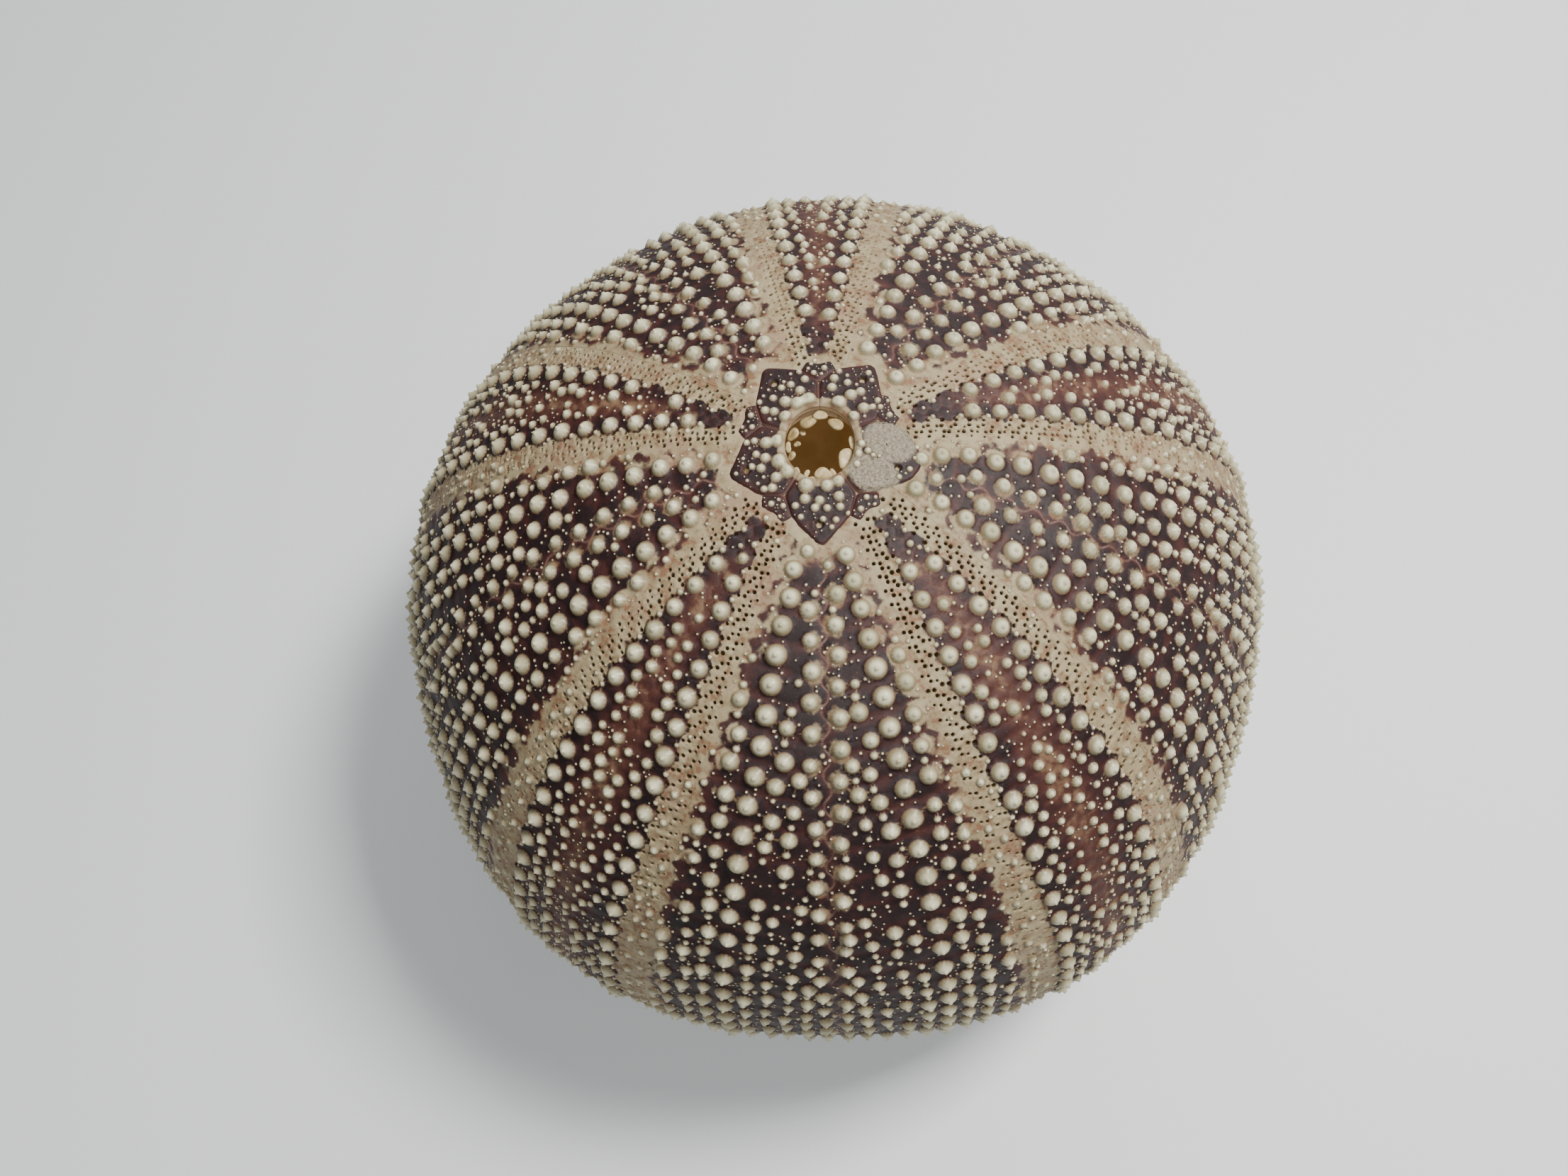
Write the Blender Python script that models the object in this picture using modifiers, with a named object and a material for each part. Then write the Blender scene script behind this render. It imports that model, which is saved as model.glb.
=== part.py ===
"""Sea urchin shell: the dried, spineless test of a large globular urchin.

The shell grew as one piece, so it is one closed, hollow solid. It is open at the top, where the
apical disc rings the periproct, and at the base, where the mouth (peristome) was. Five ambulacra
bulge a little and five interambulacra are a little flatter. Metres, +Z up, the axis on Z, and
Z = 0 is the flat ring that the shell rests on.
"""

import math

import bmesh
import bpy
from mathutils import Matrix, Vector

# Driving dimensions
SHELL_DIAMETER = 0.110
APEX_RISE = 0.0469          # apex above the ambitus, the widest level
AMBITUS_HEIGHT = 0.033      # ambitus above the resting ring
WALL = 0.0024
PERIPROCT_DIAMETER = 0.0071
MOUTH_DIAMETER = 0.0264
RING_INNER_DIAMETER = 0.044
RING_OUTER_DIAMETER = 0.056
MOUTH_SINK = 0.0018         # how far the mouth's edge stands above the resting ring

# Shape of the dome and of its five-fold swelling
SHOULDER = 0.025            # fuller at 45 degrees than an ellipse
LEAN = -0.032               # a little drawn in below the shoulder
SWELLING = 0.015            # radial swelling at an ambulacrum, as a share of the radius
SECTORS = 5
FIRST_AMBULACRUM = math.radians(18)

# Gill notches in the mouth's edge, two beside each ambulacrum
NOTCH_OFFSET = math.radians(13.5)
NOTCH_WIDTH = math.radians(8.5)
NOTCH_DEPTH = 0.0015
NOTCH_REACH = 0.0025

# Auricles: the arch inside the mouth at each ambulacrum, which held the jaw's muscles
AURICLE_SPAN = 0.0094
AURICLE_HEIGHT = 0.0082
AURICLE_BAR = 0.0020
AURICLE_INSET = 0.0021      # from the mouth's edge out to the middle of the arch
AURICLE_SEGMENTS = 24
AURICLE_SIDES = 8

# Mesh density
TURN_STEPS = 80
DOME_STEPS = 12
FLANK_STEPS = 7
MOUTH_STEPS = 3

RADIUS = SHELL_DIAMETER / 2
MERGE = 0.00001


def clear_scene():
    """Removes whatever the file opened with."""
    for old in list(bpy.data.objects):
        bpy.data.objects.remove(old, do_unlink=True)


def new_collection(name):
    """Makes a collection in the scene."""
    group = bpy.data.collections.new(name)
    bpy.context.scene.collection.children.link(group)
    return group


def add_object(name, mesh, group):
    """Makes an object from a mesh and puts it in its collection."""
    thing = bpy.data.objects.new(name, mesh)
    group.objects.link(thing)
    return thing


def dome_point(angle):
    """Radius and height on the dome, with the angle measured from the axis."""
    fuller = SHOULDER * math.sin(2 * angle) ** 2
    drawn_in = LEAN * math.sin(2 * angle) * math.sin(angle) ** 2
    swell = 1 + fuller + drawn_in
    radius = RADIUS * math.sin(angle) * swell
    height = AMBITUS_HEIGHT + APEX_RISE * math.cos(angle) * swell
    return radius, height


def dome_angle_at(radius):
    """The dome's angle at a radius near the axis, by a few rounds of correction."""
    angle = radius / RADIUS
    for _ in range(8):
        angle *= radius / dome_point(angle)[0]
    return angle


def dome_profile():
    """From the periproct's rim down to the ambitus."""
    start = dome_angle_at(PERIPROCT_DIAMETER / 2)
    step = (math.pi / 2 - start) / DOME_STEPS
    return [dome_point(start + step * i) for i in range(DOME_STEPS + 1)]


def flank_profile():
    """From below the ambitus round to the outer edge of the resting ring: a quarter ellipse."""
    ring = RING_OUTER_DIAMETER / 2
    points = []
    for i in range(1, FLANK_STEPS + 1):
        angle = math.pi / 2 * i / FLANK_STEPS
        radius = ring + (RADIUS - ring) * math.cos(angle)
        height = AMBITUS_HEIGHT * (1 - math.sin(angle))
        points.append((radius, height))
    return points


def mouth_profile():
    """The flat resting ring's inner edge, then the slope up to the mouth's edge."""
    outer = RING_INNER_DIAMETER / 2
    inner = MOUTH_DIAMETER / 2
    points = [(outer, 0.0)]
    for i in range(1, MOUTH_STEPS + 1):
        share = i / MOUTH_STEPS
        height = MOUTH_SINK * (1 - math.cos(math.pi * share)) / 2
        points.append((outer + (inner - outer) * share, height))
    return points


def five_fold(radius, height, turn):
    """Swells the ambulacra, more the nearer to the ambitus."""
    if height >= AMBITUS_HEIGHT:
        rise = min((height - AMBITUS_HEIGHT) / APEX_RISE, 1.0)
        weight = (math.acos(rise) / (math.pi / 2)) ** 2
    else:
        weight = 1 - (1 - height / AMBITUS_HEIGHT) ** 2
    wave = math.cos(SECTORS * (turn - FIRST_AMBULACRUM))
    return radius * (1 + SWELLING * weight * wave)


def notched(radius, height, turn):
    """Cuts the gill notches into the mouth's edge."""
    past_edge = radius - MOUTH_DIAMETER / 2
    if height > AMBITUS_HEIGHT or past_edge > NOTCH_REACH:
        return radius
    fade = 1 - past_edge / NOTCH_REACH
    sector = 2 * math.pi / SECTORS
    away = abs((turn - FIRST_AMBULACRUM + sector / 2) % sector - sector / 2)
    notch = math.exp(-((away - NOTCH_OFFSET) / (NOTCH_WIDTH / 2)) ** 2)
    return radius + NOTCH_DEPTH * notch * fade


def shape_surface(mesh):
    """Moves the turned surface's points out or in to the five-fold shape."""
    for vertex in mesh.vertices:
        turn = math.atan2(vertex.co.y, vertex.co.x)
        radius = math.hypot(vertex.co.x, vertex.co.y)
        shaped = five_fold(radius, vertex.co.z, turn)
        shaped = notched(shaped, vertex.co.z, turn)
        vertex.co.x *= shaped / radius
        vertex.co.y *= shaped / radius


def turned_surface():
    """Turns the outer profile round the axis into an open surface."""
    profile = dome_profile() + flank_profile() + mouth_profile()
    points = [(radius, 0.0, height) for radius, height in profile]
    edges = [(i, i + 1) for i in range(len(points) - 1)]
    mesh = bpy.data.meshes.new("profile")
    mesh.from_pydata(points, edges, [])
    line = add_object("profile", mesh, bpy.context.scene.collection)
    screw = line.modifiers.new("Turn", "SCREW")
    screw.steps = TURN_STEPS
    screw.render_steps = TURN_STEPS
    screw.use_merge_vertices = True
    screw.merge_threshold = MERGE
    bpy.context.view_layer.update()
    depsgraph = bpy.context.evaluated_depsgraph_get()
    surface = bpy.data.meshes.new_from_object(line.evaluated_get(depsgraph))
    bpy.data.objects.remove(line, do_unlink=True)
    bpy.data.meshes.remove(mesh)
    return surface


def auricle_arch(turn):
    """One arch: the top half of an upright, stretched torus, its feet inside the wall."""
    bpy.ops.mesh.primitive_torus_add(
        major_radius=AURICLE_SPAN / 2,
        minor_radius=AURICLE_BAR / 2,
        major_segments=AURICLE_SEGMENTS,
        minor_segments=AURICLE_SIDES,
    )
    torus = bpy.context.object
    stretch = AURICLE_HEIGHT / (AURICLE_SPAN / 2)
    foot_height = MOUTH_SINK + WALL
    out = MOUTH_DIAMETER / 2 + AURICLE_INSET
    place = Matrix.Rotation(turn, 4, "Z") @ Matrix.Translation((out, 0, foot_height))
    upright = Matrix.Diagonal((1, 1, stretch, 1)) @ Matrix.Rotation(math.pi / 2, 4, "Y")
    torus.data.transform(place @ upright)
    work = bmesh.new()
    work.from_mesh(torus.data)
    bpy.data.objects.remove(torus, do_unlink=True)
    cut_height = foot_height - WALL / 2
    bmesh.ops.bisect_plane(
        work,
        geom=work.verts[:] + work.edges[:] + work.faces[:],
        plane_co=Vector((0, 0, cut_height)),
        plane_no=Vector((0, 0, 1)),
        clear_inner=True,
    )
    rims = [edge for edge in work.edges if edge.is_boundary]
    bmesh.ops.holes_fill(work, edges=rims, sides=0)
    bmesh.ops.recalc_face_normals(work, faces=work.faces)
    return work


def auricle_arches(group):
    """The five arches as one object, to be joined to the shell."""
    mesh = bpy.data.meshes.new("auricle_arches")
    whole = bmesh.new()
    for i in range(SECTORS):
        arch = auricle_arch(FIRST_AMBULACRUM + 2 * math.pi * i / SECTORS)
        arch.to_mesh(mesh)
        arch.free()
        whole.from_mesh(mesh)
    whole.to_mesh(mesh)
    whole.free()
    arches = add_object("auricle_arches", mesh, group)
    arches.hide_render = True
    arches.display_type = "WIRE"
    return arches


def shell_material():
    """Matt, dark red-brown calcite."""
    finish = bpy.data.materials.new("shell")
    finish.use_nodes = True
    surface = finish.node_tree.nodes["Principled BSDF"]
    surface.inputs["Base Color"].default_value = (0.16, 0.065, 0.06, 1)
    surface.inputs["Roughness"].default_value = 0.5
    surface.inputs["Metallic"].default_value = 0.0
    return finish


def urchin_shell(group, joined):
    """The hollow shell: the shaped surface, its wall, and the arches inside its mouth."""
    surface = turned_surface()
    surface.name = "urchin_shell"
    shape_surface(surface)
    surface.shade_smooth()
    shell = add_object("urchin_shell", surface, group)
    surface.materials.append(shell_material())
    wall = shell.modifiers.new("Wall", "SOLIDIFY")
    wall.thickness = WALL
    wall.offset = -1
    wall.use_even_offset = True
    wall.use_rim = True
    join = shell.modifiers.new("Auricles", "BOOLEAN")
    join.operation = "UNION"
    join.object = joined
    return shell


def main():
    """Builds the shell."""
    clear_scene()
    parts = new_collection("sea_urchin_shell")
    tools = new_collection("joined_shapes")
    arches = auricle_arches(tools)
    urchin_shell(parts, arches)


main()
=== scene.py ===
"""Dried shell of a sea urchin, built plate by plate round its CAD frame.

Every shape function works in millimetres, along a meridian: `s` is the distance from the top of the
shell down its outer side, and `turn` is the angle round the axis. Meshes are made in metres.
"""

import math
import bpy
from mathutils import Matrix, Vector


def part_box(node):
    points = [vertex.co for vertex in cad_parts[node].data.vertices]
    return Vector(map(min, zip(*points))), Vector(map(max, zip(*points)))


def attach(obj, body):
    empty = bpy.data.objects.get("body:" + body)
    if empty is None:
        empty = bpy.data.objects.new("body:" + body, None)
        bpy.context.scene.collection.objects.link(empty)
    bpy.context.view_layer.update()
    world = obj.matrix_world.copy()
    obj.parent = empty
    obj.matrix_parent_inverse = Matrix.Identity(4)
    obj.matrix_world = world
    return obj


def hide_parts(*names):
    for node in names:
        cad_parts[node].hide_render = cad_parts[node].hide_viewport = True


bl_info = {
    "name": "Sea urchin shell",
    "version": (1, 0, 0),
    "blender": (4, 5, 0),
    "location": "3D View > Sidebar > Urchin",
    "description": "Builds a dried sea urchin shell with its plates, tubercles and pores",
    "category": "Add Mesh",
}

import bpy
import numpy as np
from bpy.props import FloatProperty, FloatVectorProperty, PointerProperty
from mathutils import Matrix, Vector
from mathutils.geometry import delaunay_2d_cdt

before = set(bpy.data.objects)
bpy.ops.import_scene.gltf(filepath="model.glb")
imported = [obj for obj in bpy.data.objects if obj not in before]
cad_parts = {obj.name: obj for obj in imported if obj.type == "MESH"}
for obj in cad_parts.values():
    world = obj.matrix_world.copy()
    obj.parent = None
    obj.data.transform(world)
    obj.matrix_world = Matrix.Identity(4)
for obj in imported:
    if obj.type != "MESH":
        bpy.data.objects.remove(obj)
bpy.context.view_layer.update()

NODE = "urchin_shell"
BODY = "root"
MM = 0.001

# Driving sizes, from the frame's own box
SHELL_LOW, SHELL_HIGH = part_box(NODE)
BOX_OVER_DIAMETER = 1.0026          # the five-fold swelling makes the box this much wider
RADIUS = (SHELL_HIGH[0] - SHELL_LOW[0]) / 2 / MM / BOX_OVER_DIAMETER
AMBITUS = 0.6 * RADIUS              # height of the widest level
APEX_RISE = 0.8527 * RADIUS
RING_OUTER = 0.509 * RADIUS
RING_INNER = 0.4 * RADIUS
MOUTH = 0.24 * RADIUS
MOUTH_SINK = 0.0327 * RADIUS
PERIPROCT = 0.0645 * RADIUS
SHOULDER = 0.025                # how much fuller than an ellipse the dome is half way up
LEAN = -0.032                   # how much slimmer it is lower down
SWELLING = 0.015                # five-fold swelling, outward at the ambulacra
RAYS = 5
RAY_ANGLE = 2 * math.pi / RAYS
FIRST_AMBULACRUM = math.radians(18)
FIRST_INTERAMBULACRUM = math.radians(-90)

# The plates' own surface lies under the tubercles' tips
SKIN_DEPTH = 0.5
SKIN_DEPTH_BELOW = 1.0
WALL = 2.4

# Where the corona's wall starts, round the periproct, and its first plates, at the disc's edge
DISC_STRETCH = 1.16             # the disc is longer from front to back than from side to side
WALL_TOP = DISC_STRETCH * PERIPROCT + 0.1
CORONA_TOP = 6.9

# Plates: how far their sutures zigzag, and how much their rows tilt
INTER_SWING = 0.38
AMBU_SWING = 0.25
INTER_TILT = 0.13
AMBU_TILT = 0.05
PLATE_RISE = 0.1                # height of a plate's middle over its sutures
EDGE_RISE = 0.06                # height of the plates along a sector's edge
NET_RISE = 0.035                # height of the net of ridges on a pore band
NET_PITCH = 0.62

# Spacing of the mesh's points
BORDER_SPACING = 0.36
FILLER_SPACING = 0.46
SUTURE_SPACING = 0.24
INNER_SPACING = 2.2
STRIP = 2.5                     # the shell is worked through in strips of this height
STRIP_MARGIN = 1.6              # reach of the largest bump past a strip
RINGS_COVER = 1.28              # a bump's own rings fill this many times its radius
TOP_SAMPLES = 400               # the part of the meridian that the disc lies on

# Arches inside the mouth
AURICLE_SPAN = 9.4
AURICLE_HEIGHT = 8.2
AURICLE_BAR = 2.0
AURICLE_INSET = 2.1
AURICLE_FLARE = 1.25            # how much thicker its feet are
AURICLE_SHARP = math.radians(50)

SCALE_SPREAD = 1.12             # the scales' sizes below are those of their thin middles
SCALE_LEAN = math.radians(24)


def smooth_step(value, start, end):
    """0 before start, 1 after end, and smooth between; start may be the larger."""
    share = np.clip((np.asarray(value, float) - start) / (end - start), 0, 1)
    return share * share * (3 - 2 * share)


# ---------------------------------------------------------------- meridian


class Meridian:
    """The shell's outer line from the apex round to the mouth's edge, sampled finely."""

    def __init__(self):
        level, radius, height = self.outline()
        step = np.hypot(np.diff(radius), np.diff(height))
        self.s = radius[0] + np.concatenate([[0], np.cumsum(step)])
        self.level = level
        tangent_r = np.gradient(radius, self.s)
        tangent_z = np.gradient(height, self.s)
        self.normal_r, self.normal_z = self.soften(-tangent_z, tangent_r)
        depth = SKIN_DEPTH + (SKIN_DEPTH_BELOW - SKIN_DEPTH) * smooth_step(-self.normal_z, 0.5, 0.98)
        self.radius = radius - depth * self.normal_r
        self.height = height - depth * self.normal_z
        self.inner_radius = radius - WALL * self.normal_r
        self.inner_height = height - WALL * self.normal_z
        spread = np.diff(self.s) / ((self.radius[1:] + self.radius[:-1]) / 2)
        self.spread = np.concatenate([[0], np.cumsum(spread)])
        self.end = self.s[-1]

    @staticmethod
    def outline():
        """Level (0 apex, 1 ambitus, 2 resting ring), radius and height along the CAD outline."""
        dome = np.linspace(0.03, 1, 700)
        angle = dome * math.pi / 2
        swell = 1 + SHOULDER * np.sin(2 * angle) ** 2
        swell += LEAN * np.sin(2 * angle) * np.sin(angle) ** 2
        dome_r = RADIUS * np.sin(angle) * swell
        dome_z = AMBITUS + APEX_RISE * np.cos(angle) * swell
        flank = np.linspace(0, 1, 400)[1:]
        turn = flank * math.pi / 2
        flank_r = RING_OUTER + (RADIUS - RING_OUTER) * np.cos(turn)
        flank_z = AMBITUS * (1 - np.sin(turn))
        ring = np.linspace(0, 1, 60)[1:]
        ring_r = RING_OUTER + (RING_INNER - RING_OUTER) * ring
        edge = np.linspace(0, 1, 120)[1:]
        edge_r = RING_INNER + (MOUTH - RING_INNER) * edge
        edge_z = MOUTH_SINK * (1 - np.cos(math.pi * edge)) / 2
        level = np.concatenate([dome, 1 + flank, 2 + 0.1 * ring, 2.1 + 0.2 * edge])
        radius = np.concatenate([dome_r, flank_r, ring_r, edge_r])
        height = np.concatenate([dome_z, flank_z, 0 * ring, edge_z])
        return level, radius, height

    @staticmethod
    def soften(normal_r, normal_z, width=25):
        """Rounds the normals over the outline's few corners."""
        kernel = np.ones(width) / width
        pad = width // 2
        soft = [
            np.convolve(np.pad(part, pad, mode="edge"), kernel, mode="valid")
            for part in (normal_r, normal_z)
        ]
        length = np.hypot(*soft)
        return soft[0] / length, soft[1] / length

    def get(self, name, s):
        """One of the sampled values at a distance s."""
        return np.interp(s, self.s, getattr(self, name))

    def swelling(self, turn, s):
        """The five-fold factor on the radius."""
        level = self.get("level", s)
        above = np.minimum(level, 1) ** 2
        below = np.cos(np.clip(level - 1, 0, 1) * math.pi / 2) ** 2
        weight = np.where(level <= 1, above, below)
        return 1 + SWELLING * weight * np.cos(RAYS * (turn - FIRST_AMBULACRUM))

    def lift(self, turn, s, out):
        """Points on the plates' surface, moved out along the normal."""
        radius = self.get("radius", s) * self.swelling(turn, s) + out * self.get("normal_r", s)
        height = self.get("height", s) + out * self.get("normal_z", s)
        height = np.maximum(height, 0.0)
        return np.column_stack([radius * np.cos(turn), radius * np.sin(turn), height])

    def lift_inner(self, turn, s, out=0.0):
        """Points on the wall's inner side."""
        radius = self.get("inner_radius", s) * self.swelling(turn, s)
        radius = radius - out * self.get("normal_r", s)
        height = self.get("inner_height", s) - out * self.get("normal_z", s)
        return np.column_stack([radius * np.cos(turn), radius * np.sin(turn), height])


LINE = Meridian()


# ---------------------------------------------------------------- plates


def plate_levels(height_of):
    """Where each plate starts along the meridian."""
    levels = [CORONA_TOP]
    while levels[-1] < LINE.end + 6:
        levels.append(levels[-1] + height_of(levels[-1]))
    return np.array(levels)


def interambulacral_height(s):
    """Plate height: growing from the disc to the ambitus, smaller again near the mouth."""
    level = float(LINE.get("level", s))
    return 2.9 + 0.8 * float(smooth_step(level, 0.1, 0.7)) - 0.7 * float(smooth_step(level, 1.3, 2.3))


def ambulacral_height(s):
    """A compound plate, half as tall as its neighbour."""
    return interambulacral_height(s) / 2


INTER_LEVELS = plate_levels(interambulacral_height)
AMBU_LEVELS = plate_levels(ambulacral_height)


def band_centre(s):
    """Angle from an ambulacrum's middle to the middle of its pore band."""
    level = np.minimum(LINE.get("level", s), 1.0)
    wave = 10.9 + 0.9 * np.cos(2 * math.pi * (level - 0.3) / 1.15)
    pinch = 2.5 * np.exp(-((level / 0.15) ** 2))
    return np.radians(wave - pinch)


def disc_edge(turn):
    """How far from the apex the apical disc's star-shaped edge is."""
    x, y = np.cos(turn), np.sin(turn) / DISC_STRETCH
    past = (np.arctan2(y, x) - FIRST_AMBULACRUM + RAY_ANGLE / 2) % RAY_ANGLE - RAY_ANGLE / 2
    points = np.radians([0, 8, 13, 24, 36])
    return np.interp(np.abs(past), points, [8.2, 8.5, 8.0, 8.9, 10.2]) / np.hypot(x, y)


def band_half(s):
    """Half of a pore band's width, in mm."""
    level = LINE.get("level", s)
    return 0.95 + 0.8 * smooth_step(level, 0.05, 1.0) - 0.35 * smooth_step(level, 1.4, 2.3)


BAND_MARGIN = 0.35


def ambulacrum_half(s):
    """Angle from an ambulacrum's middle to its edge suture."""
    return band_centre(s) + (band_half(s) + BAND_MARGIN) / LINE.get("radius", s)


def interambulacrum_half(s):
    """Angle from an interambulacrum's middle to its edge suture."""
    return RAY_ANGLE / 2 - ambulacrum_half(s)


NOTCH_OFFSET = math.radians(13.5)
NOTCH_WIDTH = math.radians(4.2)
NOTCH_DEPTH = 1.5


def mouth_edge(turn_from_ambulacrum):
    """How far down the meridian the mouth's edge is, with its gill notches."""
    away = (np.abs(turn_from_ambulacrum) - NOTCH_OFFSET) / NOTCH_WIDTH
    return LINE.end - NOTCH_DEPTH * np.exp(-(away ** 4))


# ---------------------------------------------------------------- bumps and pits

PRIMARY, SECONDARY, SMALL, GRAIN, PORE = range(5)

# Rings of points round each kind of bump: share of its radius, and points in the ring
RINGS = {
    PRIMARY: ((0, 1), (0.15, 5), (0.25, 7), (0.36, 8), (0.62, 10), (0.86, 12), (1.0, 13), (1.14, 13)),
    SECONDARY: ((0, 1), (0.2, 5), (0.35, 6), (0.64, 9), (0.88, 11), (1.0, 11), (1.16, 11)),
    SMALL: ((0, 1), (0.45, 5), (0.84, 7), (1.0, 8), (1.2, 8)),
    GRAIN: ((0, 1), (0.75, 5), (1.15, 6)),
    PORE: ((0, 1), (0.55, 5), (0.85, 7), (1.08, 8), (1.5, 8)),
}
REACH = {PRIMARY: 1.5, SECONDARY: 1.5, SMALL: 1.5, GRAIN: 1.5, PORE: 1.7}

# The masks of bumps and pores fall evenly from here down to 0 at this share of the radius, so that
# they stay round when a wide triangle lies across them, and the finish picks its own edge
MASK_REACH = 1.5
BUMP_EDGE = MASK_REACH - 1.03
PORE_EDGE = MASK_REACH - 1.0


def bump_height(kind, share, radius):
    """Height of a bump over its plate, share being distance over radius."""
    if kind == PORE:
        rim = 0.07 * np.exp(-(((share - 1.3) / 0.3) ** 2))
        return rim - 0.75 * (1 - smooth_step(share, 0.45, 1.08))
    inside = np.clip(share, 0, 1)
    if kind == GRAIN:
        return 0.85 * radius * np.sqrt(1 - inside ** 2)
    tall = 0.76 if kind == PRIMARY else 0.8
    dome = tall * (1 - inside ** 2.1) ** 0.62
    knob = 0.25 * np.sqrt(np.clip(1 - (share / 0.25) ** 2, 0, 1))
    neck = 0.03 * np.exp(-(((share - 0.33) / 0.07) ** 2))
    if kind == SMALL:
        knob, neck = 0.4 * knob, 0 * neck
    return radius * (dome + knob - neck)


class Bumps:
    """The bumps and pits of one sector: places, radii and kinds, found again by cell."""

    CELL = 3.2

    def __init__(self, middle):
        self.middle = middle
        self.rows = []
        self.cells = {}

    def key(self, turn, s):
        across = (turn - self.middle) * float(LINE.get("radius", s))
        return int(across // self.CELL), int(s // self.CELL)

    def near(self, turn, s):
        """Rows in the cells round a place."""
        across, down = self.key(turn, s)
        for i in (-1, 0, 1):
            for j in (-1, 0, 1):
                yield from self.cells.get((across + i, down + j), ())

    def clear(self, turn, s, radius, gap):
        """True if a bump here keeps its gap to all others."""
        around = float(LINE.get("radius", s))
        for other in self.near(turn, s):
            room = radius + other[2] + gap
            across = (turn - other[0]) * around
            if across * across + (s - other[1]) ** 2 < room * room:
                return False
        return True

    def add(self, turn, s, radius, kind, gap=None):
        """Adds a bump, unless it has a gap to keep and can't."""
        if gap is not None and not self.clear(turn, s, radius, gap):
            return False
        row = (turn, s, radius, kind)
        self.rows.append(row)
        self.cells.setdefault(self.key(turn, s), []).append(row)
        return True


def scatter(bumps, rng, half_of, count, radii, kind, gap, edge, keep=None):
    """Scatters bumps over a sector, evenly by area, clear of the ones before them."""
    top, bottom = CORONA_TOP, LINE.end - 0.8
    tries = rng.random((count, 4))
    for u, v, w, x in tries:
        s = top + (bottom - top) * v
        around = float(LINE.get("radius", s))
        if x > around / RADIUS:
            continue
        half = float(half_of(s))
        radius = radii[0] + (radii[1] - radii[0]) * w
        turn = bumps.middle + (2 * u - 1) * half
        if abs(turn - bumps.middle) > half - (radius + edge) / around:
            continue
        if s < float(disc_edge(turn)) + radius + 0.2:
            continue
        if keep is not None and not keep(turn - bumps.middle, s):
            continue
        bumps.add(turn, s, radius, kind, gap)


def interambulacral_bumps(middle, rng):
    """Rows of tubercles over both columns of plates of one interambulacrum."""
    bumps = Bumps(middle)
    def place(side, across, s, radius, kind, gap):
        row = s - INTER_TILT * across
        around = float(LINE.get("radius", row))
        room = float(interambulacrum_half(row)) * around
        if across > room - radius - 0.1 or across < radius + 0.1:
            return False
        if row < float(disc_edge(middle + side * across / around)) + radius + 0.2:
            return False
        if row > LINE.end - radius - 0.5:
            return False
        return bumps.add(middle + side * across / around, row, radius, kind, gap)

    passes = []
    for side, shift in ((-1, 0.0), (1, 0.5)):
        for i in range(len(INTER_LEVELS) - 2):
            tall = INTER_LEVELS[i + 1] - INTER_LEVELS[i]
            s = INTER_LEVELS[i] + (0.5 + shift) * tall
            if s > LINE.end - 0.8:
                break
            around = float(LINE.get("radius", s))
            width = float(interambulacrum_half(s)) * around
            passes.append((side, s, tall, width))
    for side, s, tall, width in passes:
        main = min(0.57 * width, width - 1.6) + rng.normal(0, 0.1)
        size = 0.86 + 0.16 * float(smooth_step(width, 3, 9)) + rng.normal(0, 0.03)
        place(side, max(main, size + 0.15), s + rng.normal(0, 0.06), size, PRIMARY, 0.02)
    for side, s, tall, width in passes:
        main = min(0.57 * width, width - 1.6)
        outer = width - rng.uniform(0.85, 1.1)
        place(side, outer, s - 0.15 * tall, rng.uniform(0.58, 0.78), SECONDARY, 0.05)
        place(side, 1.35 + rng.normal(0, 0.12), s + 0.27 * tall, rng.uniform(0.7, 0.9), SECONDARY, 0.08)
        for step in range(1, 7):
            for way in (-1, 1):
                across = main + way * (2.3 * step + rng.normal(0, 0.12))
                lean = 0.2 if (step + (way > 0)) % 2 else -0.16
                size = rng.uniform(0.64, 0.9) if step > 1 else rng.uniform(0.74, 0.96)
                row = s + tall * (lean + rng.normal(0, 0.06))
                if rng.random() < 0.95:
                    place(side, across, row, size, SECONDARY, 0.1)
                    place(side, across + 0.3, row + 0.5 * tall, 0.5 * size, SMALL, 0.3)
    scatter(bumps, rng, interambulacrum_half, 260, (0.42, 0.6), SECONDARY, 0.3, 0.1)
    scatter(bumps, rng, interambulacrum_half, 700, (0.19, 0.4), SMALL, 0.25, 0.1)
    scatter(bumps, rng, interambulacrum_half, 4600, (0.09, 0.19), GRAIN, 0.12, 0.12)
    return bumps


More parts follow.
